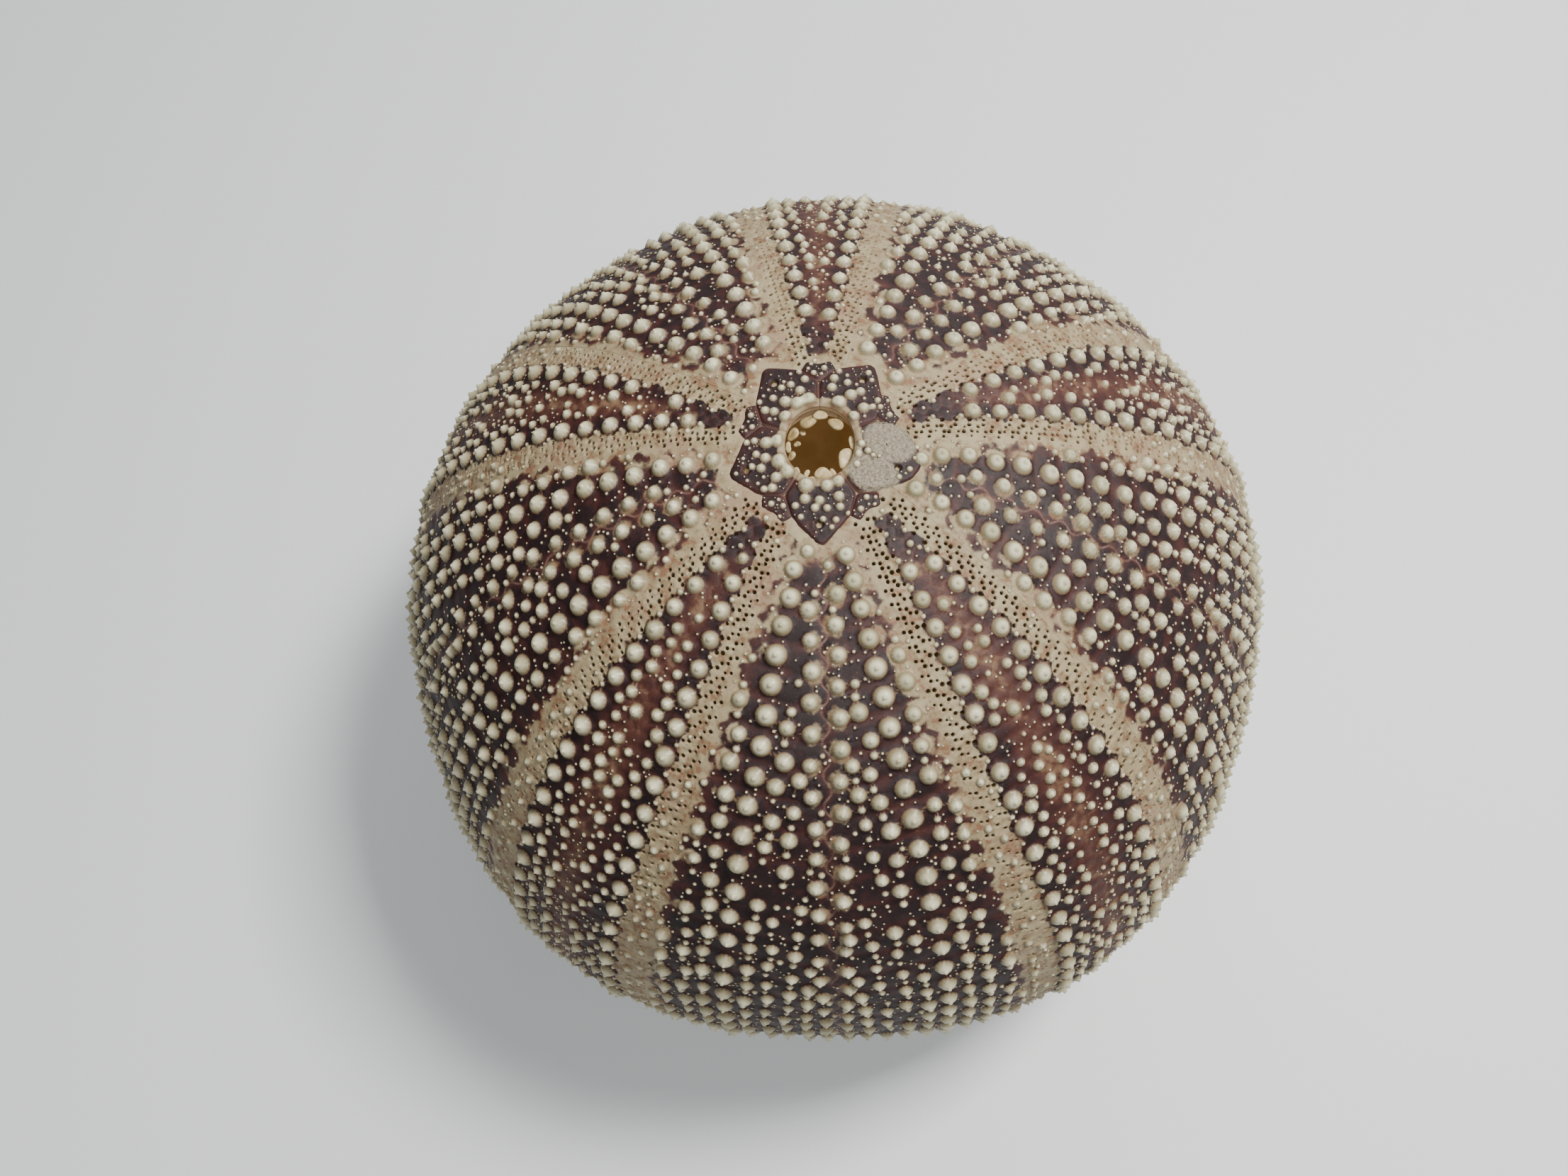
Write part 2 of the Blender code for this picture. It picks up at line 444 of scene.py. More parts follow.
def ambulacral_bumps(middle, rng):
    """Pore pairs in arcs of three, and the tubercles between the two pore bands."""
    bumps = Bumps(middle)
    plates = []
    for side, shift in ((-1, 0.0), (1, 0.5)):
        for i in range(1, len(AMBU_LEVELS) - 2):
            tall = AMBU_LEVELS[i + 1] - AMBU_LEVELS[i]
            s = AMBU_LEVELS[i] + (0.5 + shift) * tall
            if s > LINE.end - 2.4:
                break
            plates.append((side, i, s, tall))
    for side, i, s, tall in plates:
        level = float(LINE.get("level", s))
        if level > 0.42 and rng.random() < 0.8:
            around = float(LINE.get("radius", s))
            across = (0.85 if i % 2 else -0.1) * float(band_half(s)) + rng.normal(0, 0.1)
            across = min(across, float(band_half(s)) - 0.4) + float(band_centre(s)) * around
            size = rng.uniform(0.34, 0.46) + 0.16 * min(1.0, level)
            bumps.add(middle + side * across / around, s + rng.normal(0, 0.1), size, SECONDARY, 0.02)
    for side, i, s, tall in plates:
        for share, down in ((-1, -0.5), (0.19, 0), (1, 0.5)):
            row = s + down * tall
            around = float(LINE.get("radius", row))
            across = share * (float(band_half(row)) - 0.32) + rng.normal(0, 0.03)
            across += float(band_centre(row)) * around
            for out, rise in ((0.3, -0.1), (-0.3, 0.1)):
                turn = middle + side * (across + out) / around
                size = 0.175 + rng.normal(0, 0.025) + 0.025 * (share < 0)
                if row > float(disc_edge(turn)) + 0.35:
                    bumps.add(turn, row + rise + rng.normal(0, 0.03), size, PORE, 0.02)
    for side, i, s, tall in plates:
        around = float(LINE.get("radius", s))
        edge = float(band_centre(s)) * around - float(band_half(s))
        if i % 2 == 0 and s > float(disc_edge(middle)) + 1.2:
            size = 0.84 + 0.14 * float(smooth_step(edge, 2, 6)) + rng.normal(0, 0.03)
            across = max(edge - size - 0.12, size + 0.05)
            bumps.add(middle + side * across / around, s, size, PRIMARY, 0.0)
    for side, i, s, tall in plates:
        around = float(LINE.get("radius", s))
        edge = float(band_centre(s)) * around - float(band_half(s))
        if i % 2 and s > CORONA_TOP + 2.4:
            bumps.add(middle + side * (edge - 0.36) / around, s, rng.uniform(0.24, 0.34), SMALL, 0.04)
        for step in range(1, 4):
            across = edge - 1.1 - 2.2 * step + (0.55 if i % 2 else 0) + rng.normal(0, 0.1)
            if across > 0.35 and s > CORONA_TOP + 2.6 and rng.random() < 0.85:
                size = rng.uniform(0.42, 0.74)
                row = s + rng.normal(0, 0.12)
                bumps.add(middle + side * across / around, row, size, SECONDARY, 0.14)

    def inside_bands(turn, s):
        around = float(LINE.get("radius", s))
        return abs(turn) * around < float(band_centre(s)) * around - float(band_half(s)) - 0.2

    def on_band(turn, s):
        return not inside_bands(turn, s)

    scatter(bumps, rng, ambulacrum_half, 200, (0.4, 0.55), SECONDARY, 0.25, 0.1, inside_bands)
    scatter(bumps, rng, ambulacrum_half, 1000, (0.19, 0.38), SMALL, 0.17, 0.1, inside_bands)
    scatter(bumps, rng, ambulacrum_half, 1500, (0.14, 0.36), SMALL, 0.03, 0.05, on_band)
    scatter(bumps, rng, ambulacrum_half, 2800, (0.09, 0.17), GRAIN, 0.12, 0.12, inside_bands)
    scatter(bumps, rng, ambulacrum_half, 900, (0.06, 0.1), GRAIN, 0.05, 0.12, on_band)
    return bumps


# ---------------------------------------------------------------- relief and tints


def zigzag(middle, s, levels, swing):
    """Angle of the middle suture, which waves between the two columns."""
    count = np.interp(s, levels, np.arange(len(levels)))
    wave = np.sin(2 * math.pi * (count - 0.25))
    wave = wave * (1.25 - 0.25 * wave ** 2)
    return middle + swing * wave / LINE.get("radius", s)


def row_gap(across, s, side, levels, tilt):
    """Distance in mm to the nearest suture between two plates of a column, and the plate's number."""
    count = np.interp(s + tilt * across, levels, np.arange(len(levels))) - 0.5 * (side > 0)
    tall = np.interp(s, levels[:-1], np.diff(levels))
    part = count % 1
    return np.minimum(part, 1 - part) * tall, count


def plate_relief(kind, middle, turn, s):
    """Height of the plates' own surface, and the tints it carries."""
    around = LINE.get("radius", s)
    offset = (turn - middle) * around
    side = np.sign(offset)
    across = np.abs(offset)
    inter = kind == "interambulacrum"
    levels, swing = (INTER_LEVELS, INTER_SWING) if inter else (AMBU_LEVELS, AMBU_SWING)
    suture = (turn - zigzag(middle, s, levels, swing)) * around
    half = (interambulacrum_half(s) if inter else ambulacrum_half(s)) * around
    gap, count = row_gap(across, s, side, levels, INTER_TILT if inter else AMBU_TILT)
    edge = np.maximum(half - across, 0)
    nearest = np.minimum(np.abs(suture), gap)
    out = PLATE_RISE * smooth_step(nearest, 0, 1.1) - 0.03 * np.exp(-((np.abs(suture) / 0.12) ** 2))
    out -= 0.02 * np.exp(-((gap / 0.2) ** 2))
    flush = smooth_step(edge, 0, 0.8)
    out = EDGE_RISE + (out - EDGE_RISE) * flush
    below = smooth_step(LINE.get("level", s), 1.2, 1.9)
    broken = 0.7 + 0.3 * np.sin(2.1 * s + 5 * middle) * np.sin(0.83 * s)
    seam = broken * np.exp(-((suture / 0.07) ** 2)) * (0.8 if inter else 0.12)
    if inter:
        warm = 0.38 * np.exp(-((gap / 0.34) ** 2)) + 0.3 * np.exp(-((suture / 0.5) ** 2))
        warm = warm + 0.45 * smooth_step(edge, 2.6, 0.6)
        lobe = 0.5 + 0.4 * np.cos(2 * math.pi * (count + 0.15)) + 0.22 * np.sin(5 * s + 3 * side)
        band = 0.8 * smooth_step(edge, 0.9 + lobe, -0.3 + lobe)
        halo = 1.1 * smooth_step(edge, 2.8, 1.2) + 0.6 * smooth_step(np.abs(suture), 2.4, 1.2)
    else:
        inner = band_centre(s) * around - band_half(s)
        warm = 0.25 * np.exp(-((gap / 0.3) ** 2))
        warm = warm + 0.85 * smooth_step(across, 0.55 * inner + 0.6, 0.1) * smooth_step(inner, 1.2, 3.2)
        lobe = 0.34 * np.cos(math.pi * (count - 0.5)) + 0.12 * np.sin(4.3 * s + side)
        band = smooth_step(across, inner - 0.25 + lobe, inner + 0.2 + lobe)
        net = np.cos(2 * math.pi * (across - inner) / NET_PITCH) + np.cos(4 * math.pi * count)
        halo = 0.5 * smooth_step(across, 1.6, 0.4) + 0.4 * smooth_step(across, inner - 1.0, inner)
        out = out * (1 - 0.5 * band) + NET_RISE * net * band * flush
    beyond = s - disc_edge(turn)
    collar = 0.8 * smooth_step(beyond, 1.3, 0.4) + 0.3 * smooth_step(beyond, 4.0, 1.0)
    band = np.maximum(band, np.clip(collar, 0, 1))
    band = np.maximum(band, 0.55 * below)
    out = out - 0.3 * smooth_step(beyond, -0.4, -1.2)
    return out, {
        "band": band, "warm": np.clip(warm, 0, 1), "seam": seam, "edge": edge,
        "halo": np.clip(halo, 0, 1),
    }


# ---------------------------------------------------------------- sector mesh


def ring_points(bumps):
    """Rings of points round every bump, with the bump that each belongs to."""
    turns, places, owners = [], [], []
    for index, (turn, s, radius, kind) in enumerate(bumps.rows):
        around = float(LINE.get("radius", s))
        for number, (share, count) in enumerate(RINGS[kind]):
            angle = 2 * math.pi * (np.arange(count) + 0.5 * (number % 2)) / count
            turns.append(turn + share * radius * np.cos(angle) / around)
            places.append(s + share * radius * np.sin(angle))
            owners.append(np.full(count, index))
    return np.concatenate(turns), np.concatenate(places), np.concatenate(owners)


def covered(turn, s, rows, scale):
    """For each point, whether some bump's rings cover it."""
    hit = np.zeros(len(turn), bool)
    for points, picks, share in strips(turn, s, rows):
        hit[points] = (share < scale).any(axis=1)
    return hit


def strips(turn, s, rows):
    """Goes down the shell strip by strip: its points, the bumps near them, and distance over radius."""
    for start in np.arange(0, LINE.end + 3, STRIP):
        points = np.nonzero((s >= start) & (s < start + STRIP))[0]
        low, high = start - STRIP_MARGIN, start + STRIP + STRIP_MARGIN
        picks = np.nonzero((rows[:, 1] > low) & (rows[:, 1] < high))[0]
        if not len(points) or not len(picks):
            continue
        around = LINE.get("radius", s[points])[:, None]
        across = (turn[points][:, None] - rows[picks, 0][None, :]) * around
        down = s[points][:, None] - rows[picks, 1][None, :]
        yield points, picks, np.hypot(across, down) / rows[picks, 2][None, :]


def foreign(turn, s, owner, rows):
    """True for ring points that fall well inside another bump."""
    hit = np.zeros(len(turn), bool)
    for points, picks, share in strips(turn, s, rows):
        others = picks[None, :] != owner[points][:, None]
        limit = np.where(rows[picks, 3] == PORE, 1.3, 1.06)[None, :]
        hit[points] = (others & (share < limit)).any(axis=1)
    return hit


def filler_points(middle, half_of, spacing, rng):
    """A loose hexagonal net of points over a sector."""
    turns, places = [], []
    row = 0
    s = WALL_TOP + spacing
    while s < LINE.end - 0.5 * spacing:
        around = float(LINE.get("radius", s))
        half = float(half_of(s)) - 0.45 / around
        step = spacing / around
        count = int(2 * half / step)
        if count > 0:
            line = -half + (np.arange(count) + 0.5 * (row % 2) + 0.25) * step
            turns.append(middle + line)
            places.append(np.full(count, s))
        row += 1
        s += spacing * 0.87
    turn, place = np.concatenate(turns), np.concatenate(places)
    turn = turn + rng.normal(0, 0.12 * spacing, len(turn)) / LINE.get("radius", place)
    return turn, place + rng.normal(0, 0.12 * spacing, len(place))


def border(kind, middle, half_of, spacing):
    """The closed line round a sector: up one side, across, down the other."""
    def at_mouth(turn):
        return mouth_edge(turn if kind == "ambulacrum" else RAY_ANGLE / 2 - abs(turn))

    s = WALL_TOP
    corner = float(at_mouth(float(half_of(LINE.end - 0.5))))
    count = int((corner - s) / spacing)
    side = np.linspace(s, corner, count + 1)
    top_half, low_half = float(half_of(s)), float(half_of(corner))
    across_top = max(2, int(2 * top_half * float(LINE.get("radius", s)) / spacing))
    top = np.linspace(-top_half, top_half, across_top + 1)[1:-1]
    across_low = int(2 * low_half * float(LINE.get("radius", corner)) / spacing)
    low = np.linspace(low_half, -low_half, across_low + 1)[1:-1]
    low_s = np.array([float(at_mouth(turn)) for turn in low])
    turn = np.concatenate([-half_of(side[::-1]), top, half_of(side), low])
    place = np.concatenate([side[::-1], np.full(len(top), s), side, low_s])
    return middle + turn, place


def suture_points(middle, levels, swing, spacing):
    """Points along the middle suture and just beside it."""
    s = np.arange(CORONA_TOP + 3, LINE.end - 0.5, spacing)
    turns, places = [], []
    for beside in (-0.24, -0.1, 0.0, 0.1, 0.24):
        turns.append(zigzag(middle, s, levels, swing) + beside / LINE.get("radius", s))
        places.append(s + (0.5 * spacing if abs(beside) == 0.1 else 0))
    return np.concatenate(turns), np.concatenate(places)


def edge_points(middle, half_of, spacing):
    """Points just inside both edge sutures."""
    s = np.arange(WALL_TOP + 0.4, LINE.end - 1.6, spacing)
    turns, places = [], []
    for number, inset in enumerate((0.1, 0.26)):
        for side in (-1, 1):
            shifted = s + 0.5 * spacing * (number % 2)
            turns.append(middle + side * (half_of(shifted) - inset / LINE.get("radius", shifted)))
            places.append(shifted)
    return np.concatenate(turns), np.concatenate(places)


def triangulate(turn, s, loop_count):
    """Triangles over the points, the first ones being the closed border line.

    Triangles between border points only may lie outside a hollow stretch of the border: they go.
    """
    flat = np.column_stack([turn, -LINE.get("spread", s)])
    flat = flat * RADIUS
    points = [Vector(p) for p in flat.tolist()]
    loop = [(i, (i + 1) % loop_count) for i in range(loop_count)]
    result = delaunay_2d_cdt(points, loop, [], 1, 1e-6, True)
    source = np.array([ids[0] if ids else -1 for ids in result[3]])
    faces = np.array([face for face in result[2] if len(face) == 3])
    faces = source[faces]
    faces = faces[(faces >= 0).all(axis=1)]
    spans = (faces < loop_count).all(axis=1)
    spans[spans] = ~within(flat[faces[spans]].mean(axis=1), flat[:loop_count])
    return faces[~spans]


def facing(faces, turn, s, outward=True):
    """Turns every triangle the same way round."""
    flat = np.column_stack([turn, -LINE.get("spread", s)])
    a, b, c = (flat[faces[:, i]] for i in range(3))
    area = (b[:, 0] - a[:, 0]) * (c[:, 1] - a[:, 1]) - (b[:, 1] - a[:, 1]) * (c[:, 0] - a[:, 0])
    wrong = area < 0 if outward else area > 0
    faces = faces.copy()
    faces[wrong] = faces[wrong][:, ::-1]
    return faces[area != 0]


def raise_bumps(turn, s, bumps, edge):
    """Height and tints that the bumps give to each point."""
    rows = np.array(bumps.rows)
    tones = np.random.default_rng(len(rows)).random(len(rows))
    count = len(turn)
    high, low = np.zeros(count), np.zeros(count)
    bloom, pore, tip, tail = (np.zeros(count) for _ in range(4))
    tone = np.full(count, 0.5)
    fade = smooth_step(edge, 0.02, 0.3)
    for points, picks, share in strips(turn, s, rows):
        for kind, reach in REACH.items():
            of_kind = rows[picks, 3] == kind
            if not of_kind.any():
                continue
            part = share[:, of_kind]
            near = part.argmin(axis=1)
            least = part[np.arange(len(points)), near]
            owner = picks[of_kind][near]
            if kind in (PRIMARY, SECONDARY):
                tail[points] = np.maximum(tail[points], 1 - smooth_step(least, 1.0, 2.3))
            close = least < reach
            if not close.any():
                continue
            at, least, owner = points[close], least[close], owner[close]
            rise = bump_height(kind, least, rows[owner, 2])
            if kind == PORE:
                low[at] = rise
                pore[at] = np.maximum(pore[at], MASK_REACH - least)
                continue
            better = rise > high[at]
            high[at] = np.where(better, rise, high[at])
            bloom[at] = np.maximum(bloom[at], MASK_REACH - least)
            tone[at] = np.where(better | (least < 1.2), tones[owner], tone[at])
            if kind in (PRIMARY, SECONDARY):
                tip[at] = np.maximum(tip[at], 1 - smooth_step(least, 0.1, 0.28))
    out = fade * (high + low)
    return out, {"bloom": bloom * fade, "pore": pore, "tip": tip, "tone": tone, "tail": tail}


def sector_mesh(name, kind, middle, seed):
    """One sector of the corona: plates, bumps and pits outside, plain wall inside."""
    rng = np.random.default_rng(seed)
    inter = kind == "interambulacrum"
    half_of = interambulacrum_half if inter else ambulacrum_half
    bumps = interambulacral_bumps(middle, rng) if inter else ambulacral_bumps(middle, rng)
    rows = np.array(bumps.rows)
    loop_turn, loop_s = border(kind, middle, half_of, BORDER_SPACING)
    ring_turn, ring_s, owner = ring_points(bumps)
    levels, swing = (INTER_LEVELS, INTER_SWING) if inter else (AMBU_LEVELS, AMBU_SWING)
    extra = [
        filler_points(middle, half_of, FILLER_SPACING, rng),
        suture_points(middle, levels, swing, SUTURE_SPACING),
        edge_points(middle, half_of, BORDER_SPACING),
    ]
    extra_turn = np.concatenate([pair[0] for pair in extra])
    extra_s = np.concatenate([pair[1] for pair in extra])
    free = ~covered(extra_turn, extra_s, rows, RINGS_COVER)
    inside = (half_of(ring_s) - np.abs(ring_turn - middle)) * LINE.get("radius", ring_s) > 0.05
    inside &= ~foreign(ring_turn, ring_s, owner, rows)
    turn = np.concatenate([loop_turn, ring_turn[inside], extra_turn[free]])
    s = np.concatenate([loop_s, ring_s[inside], extra_s[free]])
    from_ambulacrum = RAY_ANGLE / 2 - np.abs(turn - middle) if inter else np.abs(turn - middle)
    keep = (s < mouth_edge(from_ambulacrum) - 0.06) & (s > WALL_TOP + 0.1)
    keep[:len(loop_turn)] = True
    turn, s = turn[keep], s[keep]
    faces = facing(triangulate(turn, s, len(loop_turn)), turn, s)
    ground, tints = plate_relief(kind, middle, turn, s)
    raised, marks = raise_bumps(turn, s, bumps, tints["edge"])
    outside = LINE.lift(turn, s, ground + raised)
    band = np.maximum(tints["band"], marks["tail"] * tints["halo"])

    fill_turn, fill_s = filler_points(middle, half_of, INNER_SPACING, rng)
    room = (half_of(fill_s) - np.abs(fill_turn - middle)) * LINE.get("radius", fill_s)
    far = (room > 0.8) & (fill_s < LINE.end - 2.5)
    in_turn = np.concatenate([loop_turn, fill_turn[far]])
    in_s = np.concatenate([loop_s, fill_s[far]])
    inner_faces = facing(triangulate(in_turn, in_s, len(loop_turn)), in_turn, in_s, outward=False)
    hidden = LINE.lift_inner(in_turn, in_s)
    mesh = closed_mesh(name, outside, hidden, faces, inner_faces, len(loop_turn))
    none = np.zeros(len(turn))
    add_tint(mesh, "tint_a", (marks["bloom"], band, tints["warm"]), len(in_turn))
    add_tint(mesh, "tint_b", (tints["seam"], marks["pore"], marks["tip"]), len(in_turn))
    add_tint(mesh, "tint_c", (marks["tone"], none, none), len(in_turn), hidden=(0.5, 1.0, 0.0))
    across = np.concatenate([turn, in_turn]) - middle
    down = np.concatenate([s, in_s])
    unwrap_sector(mesh, across * LINE.get("radius", down), down, len(turn))
    return mesh


def closed_mesh(name, outside, inside, faces, inner_faces, loop_count):
    """Joins an outer and an inner patch with the same border into one closed mesh."""
    count = len(outside)
    first = np.arange(loop_count)
    after = np.roll(first, -1)
    walls = np.concatenate([
        np.column_stack([first, first + count, after + count]),
        np.column_stack([first, after + count, after]),
    ])
    points = np.concatenate([outside, inside]) * MM
    faces = np.concatenate([faces, inner_faces + count, walls])
    mesh = bpy.data.meshes.new(name)
    mesh.vertices.add(len(points))
    mesh.vertices.foreach_set("co", points.astype(np.float32).ravel())
    mesh.loops.add(3 * len(faces))
    mesh.loops.foreach_set("vertex_index", faces.astype(np.int32).ravel())
    mesh.polygons.add(len(faces))
    mesh.polygons.foreach_set("loop_start", np.arange(0, 3 * len(faces), 3, dtype=np.int32))
    mesh.update(calc_edges=True)
    mesh.validate()
    mesh.polygons.foreach_set("use_smooth", np.ones(len(mesh.polygons), bool))
    mesh.set_sharp_from_angle(angle=math.radians(80))
    pairs = np.empty(2 * len(mesh.edges), np.int32)
    mesh.edges.foreach_get("vertices", pairs)
    low, high = np.sort(pairs.reshape(-1, 2), axis=1).T
    sharp = np.empty(len(mesh.edges), bool)
    mesh.edges.foreach_get("use_edge_sharp", sharp)
    sharp |= (high < loop_count) | ((low >= count) & (high < count + loop_count))
    mesh.edges.foreach_set("use_edge_sharp", sharp)
    return mesh


def add_tint(mesh, name, values, hidden_count, hidden=(0.0, 0.0, 0.0)):
    """Stores three tints in one colour attribute, with set values on the hidden side."""
    layer = mesh.attributes.new(name, "FLOAT_COLOR", "POINT")
    outer = np.column_stack([*values, np.ones(len(values[0]))])
    inner = np.tile([*hidden, 1.0], (hidden_count, 1))
    layer.data.foreach_set("color", np.concatenate([outer, inner]).astype(np.float32).ravel())


UNWRAP_WIDTH = 39.0         # widest sector, in mm


def unwrap_sector(mesh, across, down, outer_count):
    """Lays the outside out as two strips side by side, with the inside and walls above them."""
    corner = np.empty(len(mesh.loops), np.int32)
    mesh.loops.foreach_get("vertex_index", corner)
    corner = corner.reshape(-1, 3)
    half = LINE.end / 2
    place = down[corner]
    lower = (place.mean(axis=1) > half)[:, None]
    u = 0.25 + 0.5 * lower + across[corner] / (2 * UNWRAP_WIDTH) * 0.96
    v = 0.01 + (place - half * lower) / half * 0.78
    inner = (corner >= outer_count).all(axis=1)[:, None]
    wall = ~inner & (corner >= outer_count).any(axis=1)[:, None]
    u = np.where(inner | wall, 0.01 + 0.98 * place / LINE.end, u)
    v = np.where(inner, 0.88 + 0.1 * across[corner] / UNWRAP_WIDTH, v)
    side = (across[corner].mean(axis=1) > 0)[:, None]
    v = np.where(wall, 0.955 + 0.022 * side + 0.016 * (corner >= outer_count), v)
    layer = mesh.uv_layers.new(name="OFBake")
    layer.data.foreach_set("uv", np.stack([u, v], axis=-1).astype(np.float32).ravel())


def new_piece(name, mesh, *materials):
    """Makes the visible piece that rides on the shell's body and stands for its CAD node."""
    piece = bpy.data.objects.new(name, mesh)
    bpy.context.scene.collection.objects.link(piece)
    mesh.materials.clear()
    for material in materials:
        mesh.materials.append(material)
    declare(piece)
    return piece


def declare(piece):
    """Hangs a finished piece on the shell's body and hides the shell's CAD part."""
    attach(piece, BODY)
    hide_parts(NODE)


# ---------------------------------------------------------------- apical disc

# Half outlines of the disc's plates: (out along the plate's ray, across it), in mm
GENITAL_OUTLINE = (
    (9.9, 0.0), (7.15, 2.95), (5.0, 3.62), (3.1, 2.25), (2.88, 2.08), (2.96, 1.85),
)
OCULAR_OUTLINE = ((8.1, 0.0), (8.45, 1.3), (7.3, 1.95), (6.2, 0.25))
MADREPORITE_OUTLINE = (
    (2.95, 1.9), (2.8, 2.2), (3.0, 2.36), (4.6, 3.55), (6.3, 4.0), (8.0, 3.7), (9.7, 2.5), (10.45, 0.9),
    (9.9, -0.7), (8.1, -2.1), (6.3, -3.0), (4.95, -3.5),
    (3.1, -2.25), (2.88, -2.08), (2.96, -1.85),
)
MADREPORITE_RAY = 1
GONOPORE = 0.43
OCULAR_SHIFT = math.radians(6)      # the ocular beside the madreporite is pushed aside

# Scales round the periproct: turn in degrees, width, length, how far in and how far down, in mm
SCALES = (
    (116, 1.9, 1.7, 1.0, 0.7), (88, 1.2, 1.3, 0.75, 0.45), (50, 1.7, 1.5, 0.95, 0.7),
    (158, 1.1, 1.6, 0.65, 0.7), (141, 0.8, 0.6, 1.3, 1.1), (182, 0.6, 1.0, 0.35, 0.8),
    (197, 0.9, 0.8, 0.55, 1.0), (224, 0.5, 0.7, 0.3, 1.1), (243, 0.8, 0.5, 0.5, 0.9),
    (258, 0.5, 0.9, 0.3, 1.0), (276, 1.2, 1.7, 0.7, 0.8), (296, 0.8, 0.5, 0.6, 1.0),
    (334, 1.3, 2.2, 0.7, 1.0), (2, 0.6, 1.4, 0.3, 0.8), (170, 0.7, 0.5, 1.2, 1.3),
)


def both_sides(half):
    """A closed outline from its half, which starts and may end on the middle line."""
    other = [(out, -across) for out, across in reversed(half) if across > 0]
    return list(half) + other


def rounded_outline(corners, inner_arc=None, spacing=0.2):
    """Points along a closed outline with its corners cut round."""
    line = np.array(corners, float)
    for _ in range(3):
        after = np.roll(line, -1, axis=0)
        line = np.stack([0.88 * line + 0.12 * after, 0.12 * line + 0.88 * after], axis=1).reshape(-1, 2)
    closed = np.vstack([line, line[:1]])
    length = np.concatenate([[0], np.cumsum(np.hypot(*np.diff(closed, axis=0).T))])
    steps = np.linspace(0, length[-1], int(length[-1] / spacing), endpoint=False)
    line = np.column_stack([np.interp(steps, length, closed[:, i]) for i in range(2)])
    if inner_arc:
        away = np.hypot(line[:, 0], line[:, 1])
        line *= np.maximum(1, inner_arc / away)[:, None]
    return line


def edge_distance(points, outline):
    """Distance from points to a closed outline, and which part of it is nearest."""
    start, end = outline, np.roll(outline, -1, axis=0)
    along = end - start
    length = (along ** 2).sum(axis=1)
    offset = points[:, None, :] - start[None, :, :]
    share = np.clip((offset * along[None]).sum(axis=2) / length[None], 0, 1)
    gap = np.linalg.norm(offset - share[..., None] * along[None], axis=2)
    return gap.min(axis=1), gap.argmin(axis=1)


def within(points, outline):
    """True for the points inside a closed outline."""
    x, y = points[:, 0][:, None], points[:, 1][:, None]
    x1, y1 = outline[:, 0][None], outline[:, 1][None]
    x2, y2 = np.roll(outline, -1, axis=0).T[:, None, :]
    crosses = (y1 > y) != (y2 > y)
    with np.errstate(divide="ignore", invalid="ignore"):
        reach = x1 + (y - y1) / (y2 - y1) * (x2 - x1)
    return (crosses & (x < reach)).sum(axis=1) % 2 == 1


def to_shell(points, ray):
    """From a plate's own plane (out, across) to the shell's turn and s."""
    turn = ray + np.arctan2(points[:, 1], points[:, 0])
    away = np.hypot(points[:, 0], points[:, 1])
    x, y = away * np.cos(turn), away * np.sin(turn) * DISC_STRETCH
    turn = ray + (np.arctan2(y, x) - ray + math.pi) % (2 * math.pi) - math.pi
    return turn, np.interp(np.hypot(x, y), LINE.radius[:TOP_SAMPLES], LINE.s[:TOP_SAMPLES])


def from_shell(turn, s, ray):
    """From the shell's turn and s back to a plate's own plane."""
    away = LINE.get("radius", s)
    x, y = away * np.cos(turn), away * np.sin(turn) / DISC_STRETCH
    return np.column_stack([
        x * math.cos(ray) + y * math.sin(ray), y * math.cos(ray) - x * math.sin(ray),
    ])


def disc_bumps(outline, ray, rng, wanted, sieve):
    """White tubercles of a disc plate: the wanted ones, then smaller ones scattered between."""
    bumps = Bumps(ray)
    for out, across, radius, kind in wanted:
        turn, s = to_shell(np.array([[out, across]]), ray)
        bumps.add(float(turn[0]), float(s[0]), radius, kind)
    low, high = outline.min(axis=0), outline.max(axis=0)
    for count, radii, kind, gap, margin in (
        (26, (0.26, 0.38), SMALL, 0.2, 0.4), (60, (0.12, 0.22), SMALL, 0.2, 0.3),
        (110, (0.05, 0.1), GRAIN, 0.14, 0.2),
    ):
        spots = low + (high - low) * rng.random((count, 2))
        sizes = rng.uniform(*radii, count)
        gaps, _ = edge_distance(spots, outline)
        fits = within(spots, outline) & (gaps > sizes + margin)
        if sieve is not None:
            fits &= sieve(spots[:, 0], spots[:, 1]) < 0.3
        turns, places = to_shell(spots, ray)
        for i in np.nonzero(fits)[0]:
            bumps.add(float(turns[i]), float(places[i]), sizes[i], kind, gap)
    return bumps


